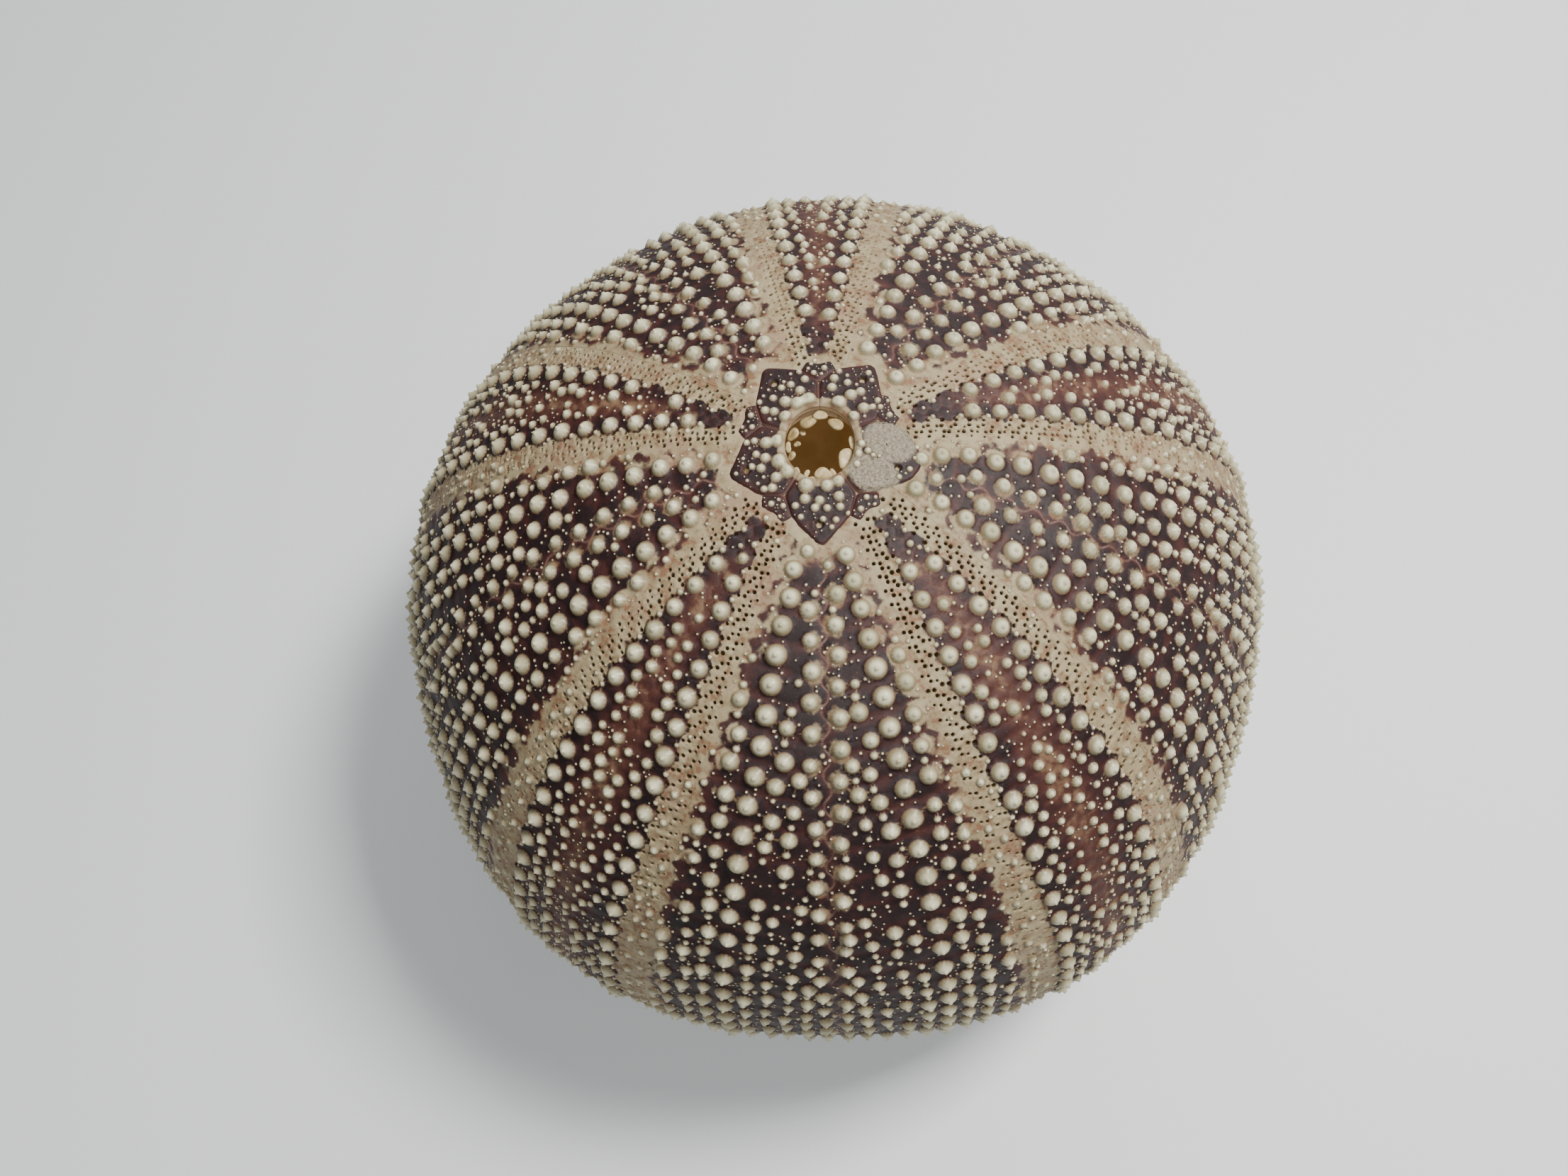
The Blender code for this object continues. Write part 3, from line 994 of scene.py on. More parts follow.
def disc_plate(name, corners, ray, seed, wanted, inner_arc=None, sieve=None, lift=0.3):
    """A plate of the apical disc, lying on the corona's top edge."""
    rng = np.random.default_rng(seed)
    outline = rounded_outline(corners, inner_arc)
    if np.cross(outline[1] - outline[0], outline[2] - outline[1]).sum() < 0:
        outline = outline[::-1]
    bumps = disc_bumps(outline, ray, rng, wanted, sieve)
    rows = np.array(bumps.rows)
    middle = outline.mean(axis=0)
    grid = 0.26 if sieve is None else 0.17
    low, high = outline.min(axis=0), outline.max(axis=0)
    xs, ys = np.meshgrid(np.arange(low[0], high[0], grid), np.arange(low[1], high[1], grid))
    net = np.column_stack([xs.ravel(), ys.ravel()])
    net = net + rng.normal(0, 0.2 * grid, net.shape)
    gaps, _ = edge_distance(net, outline)
    net = net[within(net, outline) & (gaps > 0.3)]
    rims = []
    for inset in (0.07, 0.16, 0.27):
        toward = middle - outline
        toward /= np.linalg.norm(toward, axis=1)[:, None]
        rim = outline + inset * 1.15 * toward
        gaps, _ = edge_distance(rim, outline)
        rims.append(rim[within(rim, outline) & (gaps > 0.6 * inset)])
    free = np.vstack([*rims, net])
    free_turn, free_s = to_shell(free, ray)
    open_ground = ~covered(free_turn, free_s, rows, RINGS_COVER)
    ring_turn, ring_s, owner = ring_points(bumps)
    ring = from_shell(ring_turn, ring_s, ray)
    gaps, _ = edge_distance(ring, outline)
    good = within(ring, outline) & (gaps > 0.04) & ~foreign(ring_turn, ring_s, owner, rows)
    flat = np.vstack([outline, ring[good], free[open_ground]])
    turn, s = to_shell(flat, ray)
    count = len(outline)
    faces = facing(triangulate(turn, s, count), turn, s)
    edge, _ = edge_distance(flat, outline)
    edge[:count] = 0
    raised, marks = raise_bumps(turn, s, bumps, np.maximum(edge, 0.0))
    ground = lift * smooth_step(edge, -0.1, 0.32) - 0.12
    rough = np.zeros(len(flat))
    if sieve is not None:
        rough = sieve(flat[:, 0], flat[:, 1]) * (marks["bloom"] < BUMP_EDGE)
        ground = ground + rough * rng.normal(0.02, 0.07, len(flat)) * (edge > 0.1)
    outside = LINE.lift(turn, s, ground + raised)
    under_turn, under_s = turn[:count], s[:count]
    inner = facing(triangulate(under_turn, under_s, count), under_turn, under_s, outward=False)
    mesh = closed_mesh(name, outside, LINE.lift(under_turn, under_s, -0.62), faces, inner, count)
    away = np.hypot(flat[:, 0], flat[:, 1])
    rim = smooth_step(away, 4.7, 3.9) if inner_arc else np.zeros(len(flat))
    warm = 0.3 * smooth_step(edge, 0.8, 0.1)
    seam = 0.5 * smooth_step(edge, 0.16, 0.02)
    none = np.zeros(len(flat))
    add_tint(mesh, "tint_a", (marks["bloom"], rim, warm), count)
    add_tint(mesh, "tint_b", (seam, marks["pore"], 0.3 * marks["tip"]), count)
    add_tint(mesh, "tint_c", (0.4 * marks["tone"], none, rough), count, hidden=(0.5, 1.0, 0.0))
    return mesh


def madreporite_sieve(out, across):
    """Share of rough sieve: two lobes that meet, behind a few tubercles."""
    upper = ((out - 6.7) / 2.7) ** 2 + ((across - 2.0) / 1.95) ** 2
    lower = ((out - 6.0) / 2.6) ** 2 + ((across + 1.45) / 1.8) ** 2
    return np.maximum(1 - smooth_step(upper, 0.8, 1.15), 1 - smooth_step(lower, 0.8, 1.15))


def genital_tubercles(rng):
    """The rows of big merged tubercles round the periproct, and the gonopore."""
    wanted = [(7.75 + rng.normal(0, 0.15), rng.normal(0, 0.2), GONOPORE, PORE)]
    for away, count, radius in ((4.3, 4, 0.72), (5.5, 3, 0.58), (6.45, 4, 0.42), (7.3, 3, 0.34)):
        for i in range(count):
            angle = math.radians(56 / count) * (i - (count - 1) / 2) + rng.normal(0, 0.04)
            size = radius * rng.uniform(0.8, 1.12)
            out = away * math.cos(angle) + rng.normal(0, 0.1)
            across = away * math.sin(angle)
            if all(math.hypot(out - a, across - b) > 0.75 * (size + c) for a, b, c, _ in wanted):
                wanted.append((out, across, size, SECONDARY if size > 0.45 else SMALL))
    return wanted


def madreporite_tubercles():
    """The tubercles between the sieve's two lobes and the periproct, and the gonopore."""
    wanted = [(8.15, -0.15, 0.34, PORE), (8.5, -0.95, 0.3, SMALL), (9.3, 0.1, 0.3, SMALL)]
    for out, across, size in (
        (4.1, 0.9, 0.42), (4.05, -0.1, 0.45), (4.2, -1.1, 0.4), (4.9, 0.45, 0.36), (5.5, 0.2, 0.26),
        (6.1, 0.3, 0.2),
    ):
        wanted.append((out, across, size, SMALL))
    return wanted


# ---------------------------------------------------------------- loose scales and arches


def work_on(thing):
    """Makes one object the only selected and active one."""
    bpy.ops.object.select_all(action="DESELECT")
    thing.select_set(True)
    bpy.context.view_layer.objects.active = thing


def settle(thing, matrix):
    """Moves a finished piece by a matrix and leaves its object at the origin."""
    thing.data.transform(matrix)
    thing.matrix_world = Matrix.Identity(4)


def periproct_scale(name, width, length, seed):
    """One small bean-shaped scale, thick at its rim, modelled flat about the origin."""
    bpy.ops.object.select_all(action="DESELECT")
    bpy.ops.mesh.primitive_uv_sphere_add(segments=18, ring_count=10, radius=0.5)
    scale = bpy.context.object
    scale.name = name
    bpy.ops.object.mode_set(mode="EDIT")
    bpy.ops.mesh.select_all(action="SELECT")
    bpy.ops.transform.resize(value=(width, length, 0.42 * width))
    bpy.ops.object.mode_set(mode="OBJECT")
    rng = np.random.default_rng(seed)
    phase = rng.uniform(0, 2 * math.pi, 3)
    for vertex in scale.data.vertices:
        x, y, z = vertex.co
        angle = math.atan2(y, x)
        swell = 1 + 0.12 * math.cos(2 * angle + phase[0]) + 0.07 * math.cos(3 * angle + phase[1])
        dent = 0.25 * math.exp(-(x * x + y * y) / (0.06 * width * length)) if z > 0 else 0
        vertex.co = (x * swell, y * swell, z * (1 - dent) + 0.08 * width * math.cos(angle + phase[2]))
    work_on(scale)
    bpy.ops.object.shade_smooth()
    return scale


def auricle_arch(name, ray):
    """One upright arch inside the mouth: half a torus, stretched, with flared feet."""
    bpy.ops.object.select_all(action="DESELECT")
    bpy.ops.mesh.primitive_torus_add(
        major_radius=AURICLE_SPAN / 2, minor_radius=AURICLE_BAR / 2,
        major_segments=64, minor_segments=16)
    arch = bpy.context.object
    arch.name = name
    foot = MOUTH_SINK + WALL
    stretch = AURICLE_HEIGHT / (AURICLE_SPAN / 2)
    out = MOUTH + AURICLE_INSET
    place = Matrix.Rotation(ray, 4, "Z") @ Matrix.Translation((out, 0, foot))
    upright = Matrix.Diagonal((1, 1, stretch, 1)) @ Matrix.Rotation(math.pi / 2, 4, "Y")
    for vertex in arch.data.vertices:
        spot = upright @ vertex.co
        tall = max(0.0, spot.z) / AURICLE_HEIGHT
        spot.x *= AURICLE_FLARE - 0.5 * tall
        spot.x += 0.12 * math.sin(2.1 * spot.z) * (1 - tall)
        if tall > 0.8:
            spot.z -= 0.9 * (tall - 0.8) * math.exp(-(spot.y / 0.9) ** 2) * AURICLE_BAR
        vertex.co = spot
    arch.data.transform(Matrix.Scale(MM, 4) @ place)
    arch.data.update()
    work_on(arch)
    bpy.ops.object.mode_set(mode="EDIT")
    bpy.ops.mesh.select_all(action="SELECT")
    bpy.ops.mesh.bisect(
        plane_co=(0, 0, (foot - 0.5 * WALL) * MM), plane_no=(0, 0, 1), clear_inner=True, use_fill=True)
    bpy.ops.mesh.select_all(action="SELECT")
    bpy.ops.mesh.normals_make_consistent(inside=False)
    bpy.ops.object.mode_set(mode="OBJECT")
    bpy.ops.object.shade_smooth_by_angle(angle=AURICLE_SHARP)
    arch.matrix_world = Matrix.Identity(4)
    return arch


# ---------------------------------------------------------------- finishes


class Nodes:
    """Small helper that adds and links shader nodes."""

    def __init__(self, material):
        material.use_nodes = True
        self.tree = material.node_tree
        self.tree.nodes.clear()
        self.output = self.add("ShaderNodeOutputMaterial")
        self.surface = self.add("ShaderNodeBsdfPrincipled")
        self.link(self.surface.outputs["BSDF"], self.output.inputs["Surface"])
        self.where = self.add("ShaderNodeTexCoord").outputs["Object"]

    def add(self, kind, **settings):
        node = self.tree.nodes.new(kind)
        for key, value in settings.items():
            setattr(node, key, value)
        return node

    def link(self, source, target):
        self.tree.links.new(source, target)

    def put(self, target, value):
        """Links a socket, or sets a constant."""
        if isinstance(value, bpy.types.NodeSocket):
            self.link(value, target)
        else:
            target.default_value = value

    def math(self, operation, a, b=0.0, c=0.0, clamp=False):
        node = self.add("ShaderNodeMath", operation=operation, use_clamp=clamp)
        for socket, value in zip(node.inputs, (a, b, c)):
            self.put(socket, value)
        return node.outputs[0]

    def mix(self, share, a, b, blend="MIX"):
        node = self.add("ShaderNodeMix", data_type="RGBA", blend_type=blend)
        self.put(node.inputs["Factor"], share)
        self.put(node.inputs[6], a)
        self.put(node.inputs[7], b)
        return node.outputs[2]

    def noise(self, scale, detail=3.0, roughness=0.55):
        node = self.add("ShaderNodeTexNoise")
        self.put(node.inputs["Vector"], self.where)
        node.inputs["Scale"].default_value = scale
        node.inputs["Detail"].default_value = detail
        node.inputs["Roughness"].default_value = roughness
        return node.outputs["Fac"]

    def range(self, value, low, high, to_low=0.0, to_high=1.0):
        node = self.add("ShaderNodeMapRange", interpolation_type="SMOOTHSTEP")
        self.put(node.inputs["Value"], value)
        keys = ("From Min", "From Max", "To Min", "To Max")
        for key, number in zip(keys, (low, high, to_low, to_high)):
            node.inputs[key].default_value = number
        return node.outputs["Result"]

    def tints(self, name):
        """The three values stored in one colour attribute."""
        source = self.add("ShaderNodeAttribute", attribute_name=name)
        split = self.add("ShaderNodeSeparateColor")
        self.link(source.outputs["Color"], split.inputs["Color"])
        return split.outputs[0], split.outputs[1], split.outputs[2]

    def bump(self, height, distance, strength=1.0):
        node = self.add("ShaderNodeBump")
        node.inputs["Distance"].default_value = distance
        node.inputs["Strength"].default_value = strength
        self.put(node.inputs["Height"], height)
        self.link(node.outputs["Normal"], self.surface.inputs["Normal"])


def shade(colour):
    """A colour property as a shader value."""
    return (*colour[:3], 1.0)


# Light that comes through the thin wall and makes its inner side glow faintly
THROUGH_WALL = 0.06


def corona_finish(colours):
    """Plates of dark wine colour, buff pore bands and waxy cream tubercles."""
    material = bpy.data.materials.new("corona")
    nodes = Nodes(material)
    bloom, band, warm = nodes.tints("tint_a")
    seam, pore, tip = nodes.tints("tint_b")
    tone, inner, sieve = nodes.tints("tint_c")
    coarse = nodes.noise(170, 2)
    middle = nodes.noise(620, 3)
    fine = nodes.noise(1900, 3)
    speck = nodes.noise(5200, 2)
    blend = nodes.math("MULTIPLY_ADD", nodes.math("SUBTRACT", middle, 0.5), 1.5, warm)
    blend = nodes.math("MULTIPLY_ADD", nodes.math("SUBTRACT", coarse, 0.5), 0.5, blend)
    ground = nodes.mix(nodes.range(blend, -0.1, 0.45), shade(colours.night), shade(colours.wine))
    ground = nodes.mix(nodes.range(blend, 0.35, 0.95), ground, shade(colours.rust))
    ground = nodes.mix(nodes.range(blend, 0.85, 1.25, 0.0, 0.7), ground, shade(colours.tan))
    ground = nodes.mix(nodes.range(fine, 0.5, 0.75, 0.0, 0.4), ground, shade(colours.night))
    ground = nodes.mix(nodes.range(speck, 0.66, 0.74, 0.0, 0.25), ground, shade(colours.seam))
    buff = nodes.mix(nodes.range(middle, 0.38, 0.66), shade(colours.buff), shade(colours.buff_dark))
    buff = nodes.mix(nodes.range(coarse, 0.5, 0.7, 0.0, 0.6), buff, shade(colours.blush))
    spotty = nodes.math("MULTIPLY_ADD", nodes.math("SUBTRACT", middle, 0.5), 0.8, fine)
    buff = nodes.mix(nodes.range(spotty, 0.52, 0.72, 0.0, 0.75), buff, shade(colours.stain))
    mottled = nodes.math("MULTIPLY_ADD", nodes.math("SUBTRACT", fine, 0.5), 0.6, band)
    mottled = nodes.math("MULTIPLY_ADD", nodes.math("SUBTRACT", middle, 0.5), 0.6, mottled)
    ground = nodes.mix(nodes.range(mottled, 0.3, 0.72), ground, buff)
    ground = nodes.mix(nodes.math("MULTIPLY", seam, 0.7), ground, shade(colours.seam))
    # Painted shade: dark specks on the sieve stand in for the shade inside its holes, which the mesh
    # does not have
    grey = nodes.mix(nodes.range(speck, 0.35, 0.65), shade(colours.sieve), shade(colours.sieve_hole_shade))
    ground = nodes.mix(sieve, ground, grey)
    skirt = nodes.range(bloom, BUMP_EDGE - 0.12, BUMP_EDGE - 0.02, 0.0, 0.6)
    ground = nodes.mix(skirt, ground, shade(colours.tan))
    cream = nodes.mix(tone, shade(colours.cream), shade(colours.cream_dark))
    # Painted shade: each tubercle's cream darkens to the dark skirt colour towards its foot, standing
    # in for the shade on the dome's lower sides
    painted_base_shade = nodes.range(bloom, BUMP_EDGE, BUMP_EDGE + 0.6, 0.95, 0.0)
    cream = nodes.mix(painted_base_shade, cream, shade(colours.skirt))
    cream = nodes.mix(nodes.math("MULTIPLY", tip, 0.3), cream, shade(colours.tip))
    on_bump = nodes.range(bloom, BUMP_EDGE - 0.03, BUMP_EDGE + 0.1)
    ground = nodes.mix(on_bump, ground, cream)
    # The pore pits take a near-black brown: partly the pores' own brown, partly painted shade of the
    # open hole
    in_pore = nodes.range(pore, PORE_EDGE - 0.08, PORE_EDGE + 0.2)
    ground = nodes.mix(in_pore, ground, shade(colours.pore))
    inside = nodes.mix(nodes.range(coarse, 0.3, 0.7), shade(colours.inside), shade(colours.inside_dark))
    nodes.link(nodes.mix(inner, ground, inside), nodes.surface.inputs["Base Color"])
    glow = nodes.mix(inner, (0, 0, 0, 1), shade(colours.glow))
    nodes.link(glow, nodes.surface.inputs["Emission Color"])
    nodes.surface.inputs["Emission Strength"].default_value = THROUGH_WALL
    gloss = nodes.math("MULTIPLY_ADD", on_bump, -0.27, 0.56)
    nodes.link(nodes.math("MULTIPLY_ADD", fine, 0.12, gloss), nodes.surface.inputs["Roughness"])
    grain = nodes.math("ADD", nodes.math("MULTIPLY", speck, 0.4), fine)
    nodes.bump(grain, 0.00005, 0.5)
    nodes.surface.inputs["Specular IOR Level"].default_value = 0.3
    return material


def scale_finish(name, light, dark, roughness):
    """Bare, slightly stained calcite in two close colours."""
    material = bpy.data.materials.new(name)
    nodes = Nodes(material)
    stain = nodes.noise(700, 3)
    fine = nodes.noise(3000, 2)
    colour = nodes.mix(nodes.range(stain, 0.35, 0.7), shade(light), shade(dark))
    nodes.link(colour, nodes.surface.inputs["Base Color"])
    nodes.link(nodes.math("MULTIPLY_ADD", fine, 0.15, roughness), nodes.surface.inputs["Roughness"])
    nodes.bump(fine, 0.00004, 0.5)
    return material


# ---------------------------------------------------------------- settings


class UrchinColours(bpy.types.PropertyGroup):
    """Colours of the shell, as linear values."""

    night: FloatVectorProperty(
        name="Night", description="Darkest colour between the tubercles", subtype="COLOR",
        size=3, min=0, max=1, default=(0.0078, 0.0016, 0.0024))
    wine: FloatVectorProperty(
        name="Wine", description="Usual colour of the plates", subtype="COLOR",
        size=3, min=0, max=1, default=(0.0280, 0.0058, 0.0050))
    rust: FloatVectorProperty(
        name="Rust", description="Redder colour along the sutures", subtype="COLOR",
        size=3, min=0, max=1, default=(0.052, 0.0165, 0.0105))
    tan: FloatVectorProperty(
        name="Tan", description="Skirt round a tubercle", subtype="COLOR",
        size=3, min=0, max=1, default=(0.150, 0.090, 0.050))
    buff: FloatVectorProperty(
        name="Buff", description="Pore bands", subtype="COLOR",
        size=3, min=0, max=1, default=(0.250, 0.205, 0.122))
    buff_dark: FloatVectorProperty(
        name="Dark buff", description="Stained parts of the pore bands", subtype="COLOR",
        size=3, min=0, max=1, default=(0.175, 0.132, 0.072))
    seam: FloatVectorProperty(
        name="Seam", description="Fine pale line of a suture", subtype="COLOR",
        size=3, min=0, max=1, default=(0.200, 0.120, 0.095))
    cream: FloatVectorProperty(
        name="Cream", description="Tubercles", subtype="COLOR",
        size=3, min=0, max=1, default=(0.480, 0.455, 0.322))
    cream_dark: FloatVectorProperty(
        name="Dark cream", description="Greyer tubercles", subtype="COLOR",
        size=3, min=0, max=1, default=(0.320, 0.300, 0.195))
    # Painted shade: this dark colour is painted on the lower sides of every tubercle
    skirt: FloatVectorProperty(
        name="Skirt", description="Base of a tubercle", subtype="COLOR",
        size=3, min=0, max=1, default=(0.150, 0.122, 0.066))
    tip: FloatVectorProperty(
        name="Tip", description="Knob on top of a tubercle", subtype="COLOR",
        size=3, min=0, max=1, default=(0.250, 0.230, 0.140))
    # Partly the pores' own brown, partly painted shade of the open hole
    pore: FloatVectorProperty(
        name="Pore", description="Inside of a pore", subtype="COLOR",
        size=3, min=0, max=1, default=(0.045, 0.026, 0.008))
    inside: FloatVectorProperty(
        name="Inside", description="Inner side of the wall", subtype="COLOR",
        size=3, min=0, max=1, default=(0.520, 0.400, 0.260))
    glow: FloatVectorProperty(
        name="Glow", description="Light that the wall lets through to its inner side", subtype="COLOR",
        size=3, min=0, max=1, default=(1.0, 0.55, 0.14))
    inside_dark: FloatVectorProperty(
        name="Dark inside", description="Stains on the inner side", subtype="COLOR",
        size=3, min=0, max=1, default=(0.330, 0.210, 0.130))
    blush: FloatVectorProperty(
        name="Blush", description="Pinkish stains on the pore bands", subtype="COLOR",
        size=3, min=0, max=1, default=(0.205, 0.135, 0.085))
    stain: FloatVectorProperty(
        name="Stain", description="Small rusty spots on the pore bands", subtype="COLOR",
        size=3, min=0, max=1, default=(0.140, 0.058, 0.030))
    sieve: FloatVectorProperty(
        name="Sieve", description="Rough sieve of the madreporite", subtype="COLOR",
        size=3, min=0, max=1, default=(0.210, 0.180, 0.130))
    # Painted shade of the sieve's holes, which the mesh does not have
    sieve_hole_shade: FloatVectorProperty(
        name="Dark sieve", description="Holes of the sieve", subtype="COLOR",
        size=3, min=0, max=1, default=(0.110, 0.092, 0.066))
    scale: FloatVectorProperty(
        name="Scale", description="Loose scales round the periproct", subtype="COLOR",
        size=3, min=0, max=1, default=(0.400, 0.320, 0.170))
    scale_dark: FloatVectorProperty(
        name="Dark scale", description="Yellowed parts of the loose scales", subtype="COLOR",
        size=3, min=0, max=1, default=(0.230, 0.160, 0.060))
    floor: FloatVectorProperty(
        name="Floor", description="Plain surface that the shell stands on", subtype="COLOR",
        size=3, min=0, max=1, default=(0.565, 0.585, 0.605))


class UrchinSizes(bpy.types.PropertyGroup):
    """Sizes of the stage."""

    floor_size: FloatProperty(
        name="Floor size", description="Width of the floor", default=3.0, unit="LENGTH")
    camera_tilt: FloatProperty(
        name="Camera tilt", description="Angle of the view from straight down",
        default=math.radians(21.14), unit="ROTATION")
    camera_turn: FloatProperty(
        name="Camera turn", description="Angle of the view round the shell",
        default=math.radians(2.3), unit="ROTATION")
    camera_roll: FloatProperty(
        name="Camera roll", description="Turn of the picture about the view's middle",
        default=math.radians(3.55), unit="ROTATION")
    camera_away: FloatProperty(
        name="Camera distance", description="From the middle of the shell to the camera",
        default=3.2 * RADIUS * MM, unit="LENGTH")
    aim_left: FloatProperty(
        name="Aim left", description="How far the view is aimed left of the shell's middle",
        default=math.radians(1.933), unit="ROTATION")
    aim_up: FloatProperty(
        name="Aim up", description="How far the view is aimed above the shell's middle",
        default=math.radians(0.974), unit="ROTATION")
    lens: FloatProperty(
        name="Lens", description="Focal length in millimetres, on a sensor 36 mm wide", default=30.43)


# ---------------------------------------------------------------- stage



def place_camera(sizes):
    """A camera that looks down on the shell, aimed a little off its middle."""
    middle = Vector((0, 0, AMBITUS * MM))
    tilt = sizes.camera_tilt
    back = Vector((0, -math.sin(tilt), math.cos(tilt)))
    spot = middle + back * sizes.camera_away
    right = Vector((1, 0, 0))
    up = back.cross(right)
    ahead = -back * math.cos(sizes.aim_left) - right * math.sin(sizes.aim_left)
    side = ahead.cross(up).normalized()
    over = side.cross(ahead)
    ahead = ahead * math.cos(sizes.aim_up) + over * math.sin(sizes.aim_up)
    over = side.cross(ahead)
    roll = sizes.camera_roll
    axis_x = side * math.cos(roll) - over * math.sin(roll)
    axis_y = side * math.sin(roll) + over * math.cos(roll)
    turned = Matrix.Rotation(sizes.camera_turn, 4, "Z")
    basis = Matrix((axis_x, axis_y, -ahead)).transposed().to_4x4()
    view = bpy.data.cameras.new("view")
    view.sensor_width = 36
    view.lens = sizes.lens
    view.clip_start = 0.01
    camera = bpy.data.objects.new("view", view)
    # The view turns with the shell's own axis, which is the world's Z
    camera.matrix_world = turned @ Matrix.Translation(spot) @ basis
    bpy.context.scene.collection.objects.link(camera)
    bpy.context.scene.camera = camera


def area_light(name, place, size, power, tint=(1, 1, 1)):
    """A soft square light aimed at the shell."""
    lamp = bpy.data.lights.new(name, "AREA")
    lamp.shape = "SQUARE"
    lamp.size = size
    lamp.energy = power
    lamp.color = tint
    thing = bpy.data.objects.new(name, lamp)
    thing.location = place
    aim = Vector((0, 0, AMBITUS * MM)) - Vector(place)
    thing.rotation_euler = aim.to_track_quat("-Z", "Y").to_euler()
    bpy.context.scene.collection.objects.link(thing)


def build_stage(settings, colours):
    """Floor, lights, world and camera."""
    bpy.ops.mesh.primitive_plane_add(size=settings.floor_size)
    floor = bpy.context.object
    floor.name = "floor"
    material = bpy.data.materials.new("floor")
    material.use_nodes = True
    surface = material.node_tree.nodes["Principled BSDF"]
    surface.inputs["Base Color"].default_value = shade(colours.floor)
    surface.inputs["Roughness"].default_value = 0.6
    floor.data.materials.append(material)
    area_light("key", (0.24, 0.10, 0.52), 0.14, 6.0, (1.0, 0.97, 0.92))
    area_light("window", (0.06, -0.26, 0.56), 0.16, 2.2, (1.0, 0.99, 0.97))
    area_light("back", (0.1, 0.6, 0.35), 0.5, 1.6)
    world = bpy.data.worlds.new("studio")
    world.use_nodes = True
    world.node_tree.nodes["Background"].inputs["Color"].default_value = (0.86, 0.88, 0.90, 1)
    world.node_tree.nodes["Background"].inputs["Strength"].default_value = 0.2
    bpy.context.scene.world = world
    place_camera(settings)


# ---------------------------------------------------------------- operators


class URCHIN_OT_corona(bpy.types.Operator):
    """Builds the ten sectors of the corona"""

    bl_idname = "urchin.corona"
    bl_label = "Corona"

    def execute(self, context):
        material = corona_finish(context.scene.urchin_colours)
        for ray in range(RAYS):
            middle = FIRST_INTERAMBULACRUM + ray * RAY_ANGLE
            name = "interambulacrum_%d" % (ray + 1)
            new_piece(name, sector_mesh(name, "interambulacrum", middle, 11 + ray), material)
            middle = FIRST_AMBULACRUM + ray * RAY_ANGLE
            name = "ambulacrum_%d" % (ray + 1)
            new_piece(name, sector_mesh(name, "ambulacrum", middle, 31 + ray), material)
        return {"FINISHED"}


class URCHIN_OT_disc(bpy.types.Operator):
    """Builds the apical disc: five genital plates, one of them the madreporite, and five oculars"""

    bl_idname = "urchin.disc"
    bl_label = "Apical disc"

    def execute(self, context):
        material = corona_finish(context.scene.urchin_colours)
        material.name = "disc"
        for ray in range(RAYS):
            turn = FIRST_INTERAMBULACRUM + ray * RAY_ANGLE
            if ray == MADREPORITE_RAY:
                mesh = disc_plate(
                    "madreporite", MADREPORITE_OUTLINE, turn, 60, madreporite_tubercles(),
                    inner_arc=PERIPROCT, sieve=madreporite_sieve, lift=0.34)
                new_piece("madreporite", mesh, material)
                continue
            name = "genital_plate_%d" % (ray + 1)
            rng = np.random.default_rng(70 + ray)
            mesh = disc_plate(
                name, both_sides(GENITAL_OUTLINE), turn, 61 + ray, genital_tubercles(rng),
                inner_arc=PERIPROCT)
            new_piece(name, mesh, material)
        for ray in range(RAYS):
            turn = FIRST_AMBULACRUM + ray * RAY_ANGLE
            name = "ocular_plate_%d" % (ray + 1)
            wanted = [(7.0, 0.5, 0.3, SMALL), (7.5, -0.6, 0.32, SMALL), (8.0, 0.75, 0.22, SMALL)]
            if ray == 0:
                turn += OCULAR_SHIFT
            mesh = disc_plate(name, both_sides(OCULAR_OUTLINE), turn, 80 + ray, wanted, lift=0.26)
            new_piece(name, mesh, material)
        return {"FINISHED"}


class URCHIN_OT_scales(bpy.types.Operator):
    """Builds the loose scales that still hang round the periproct"""

    bl_idname = "urchin.scales"
    bl_label = "Periproct scales"

    def execute(self, context):
        colours = context.scene.urchin_colours
        material = scale_finish("scale", colours.scale, colours.scale_dark, 0.4)
        level = float(LINE.get("height", PERIPROCT))
        for number, (turn, width, length, inset, drop) in enumerate(SCALES):
            name = "periproct_scale_%02d" % (number + 1)
            piece = periproct_scale(name, SCALE_SPREAD * width, SCALE_SPREAD * length, 90 + number)
            away = PERIPROCT - inset
            angle = math.radians(turn)
            spot = (away * math.cos(angle), away * math.sin(angle) * DISC_STRETCH, level - drop)
            place = Matrix.Translation(spot) @ Matrix.Rotation(angle, 4, "Z")
            tip = Matrix.Rotation(SCALE_LEAN, 4, "Y")
            settle(piece, Matrix.Scale(MM, 4) @ place @ tip)
            piece.data.materials.append(material)
            declare(piece)
        return {"FINISHED"}


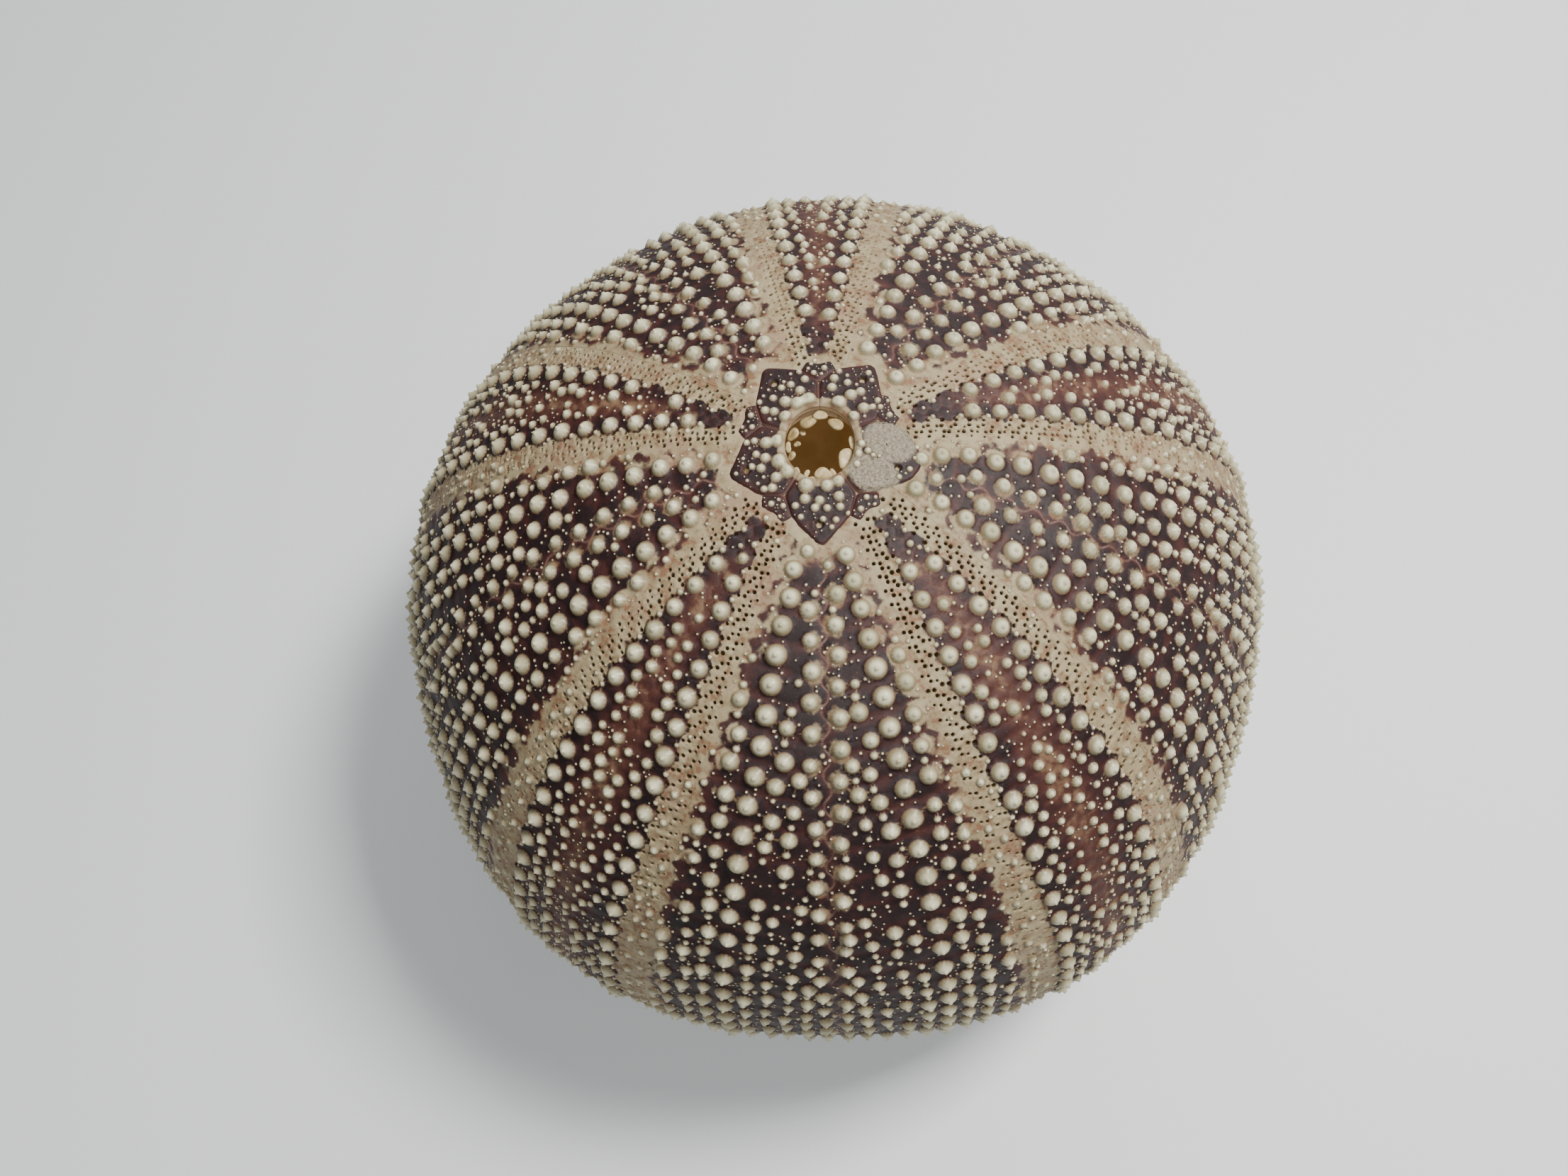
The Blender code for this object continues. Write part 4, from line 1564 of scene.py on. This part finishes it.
class URCHIN_OT_auricles(bpy.types.Operator):
    """Builds the five arches inside the mouth"""

    bl_idname = "urchin.auricles"
    bl_label = "Auricles"

    def execute(self, context):
        colours = context.scene.urchin_colours
        material = scale_finish("arch", colours.inside, colours.buff, 0.5)
        for ray in range(RAYS):
            arch = auricle_arch("auricle_%d" % (ray + 1), FIRST_AMBULACRUM + ray * RAY_ANGLE)
            arch.data.materials.append(material)
            declare(arch)
        return {"FINISHED"}


class URCHIN_OT_stage(bpy.types.Operator):
    """Builds the floor, the lights and the camera"""

    bl_idname = "urchin.stage"
    bl_label = "Stage"

    def execute(self, context):
        bpy.ops.object.select_all(action="DESELECT")
        build_stage(context.scene.urchin_sizes, context.scene.urchin_colours)
        return {"FINISHED"}


class URCHIN_PT_panel(bpy.types.Panel):
    """Lists the shell's pieces and its settings"""

    bl_idname = "URCHIN_PT_panel"
    bl_label = "Sea urchin shell"
    bl_space_type = "VIEW_3D"
    bl_region_type = "UI"
    bl_category = "Urchin"

    def draw(self, context):
        layout = self.layout
        for step in STEPS:
            layout.operator(step.bl_idname)
        for group in (context.scene.urchin_sizes, context.scene.urchin_colours):
            box = layout.box()
            for key in group.bl_rna.properties.keys():
                if key not in {"rna_type", "name"}:
                    box.prop(group, key)


STEPS = (URCHIN_OT_corona, URCHIN_OT_disc, URCHIN_OT_scales, URCHIN_OT_auricles, URCHIN_OT_stage)
CLASSES = (UrchinColours, UrchinSizes, *STEPS, URCHIN_PT_panel)


def register():
    """Registers the classes and the scene's settings."""
    for item in CLASSES:
        bpy.utils.register_class(item)
    bpy.types.Scene.urchin_colours = PointerProperty(type=UrchinColours)
    bpy.types.Scene.urchin_sizes = PointerProperty(type=UrchinSizes)


def unregister():
    """Takes them away again."""
    del bpy.types.Scene.urchin_sizes
    del bpy.types.Scene.urchin_colours
    for item in reversed(CLASSES):
        bpy.utils.unregister_class(item)


def main():
    """Builds every piece in order."""
    register()
    for step in STEPS:
        family, action = step.bl_idname.split(".")
        getattr(getattr(bpy.ops, family), action)()
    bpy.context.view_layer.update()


if __name__ == "__main__":
    main()
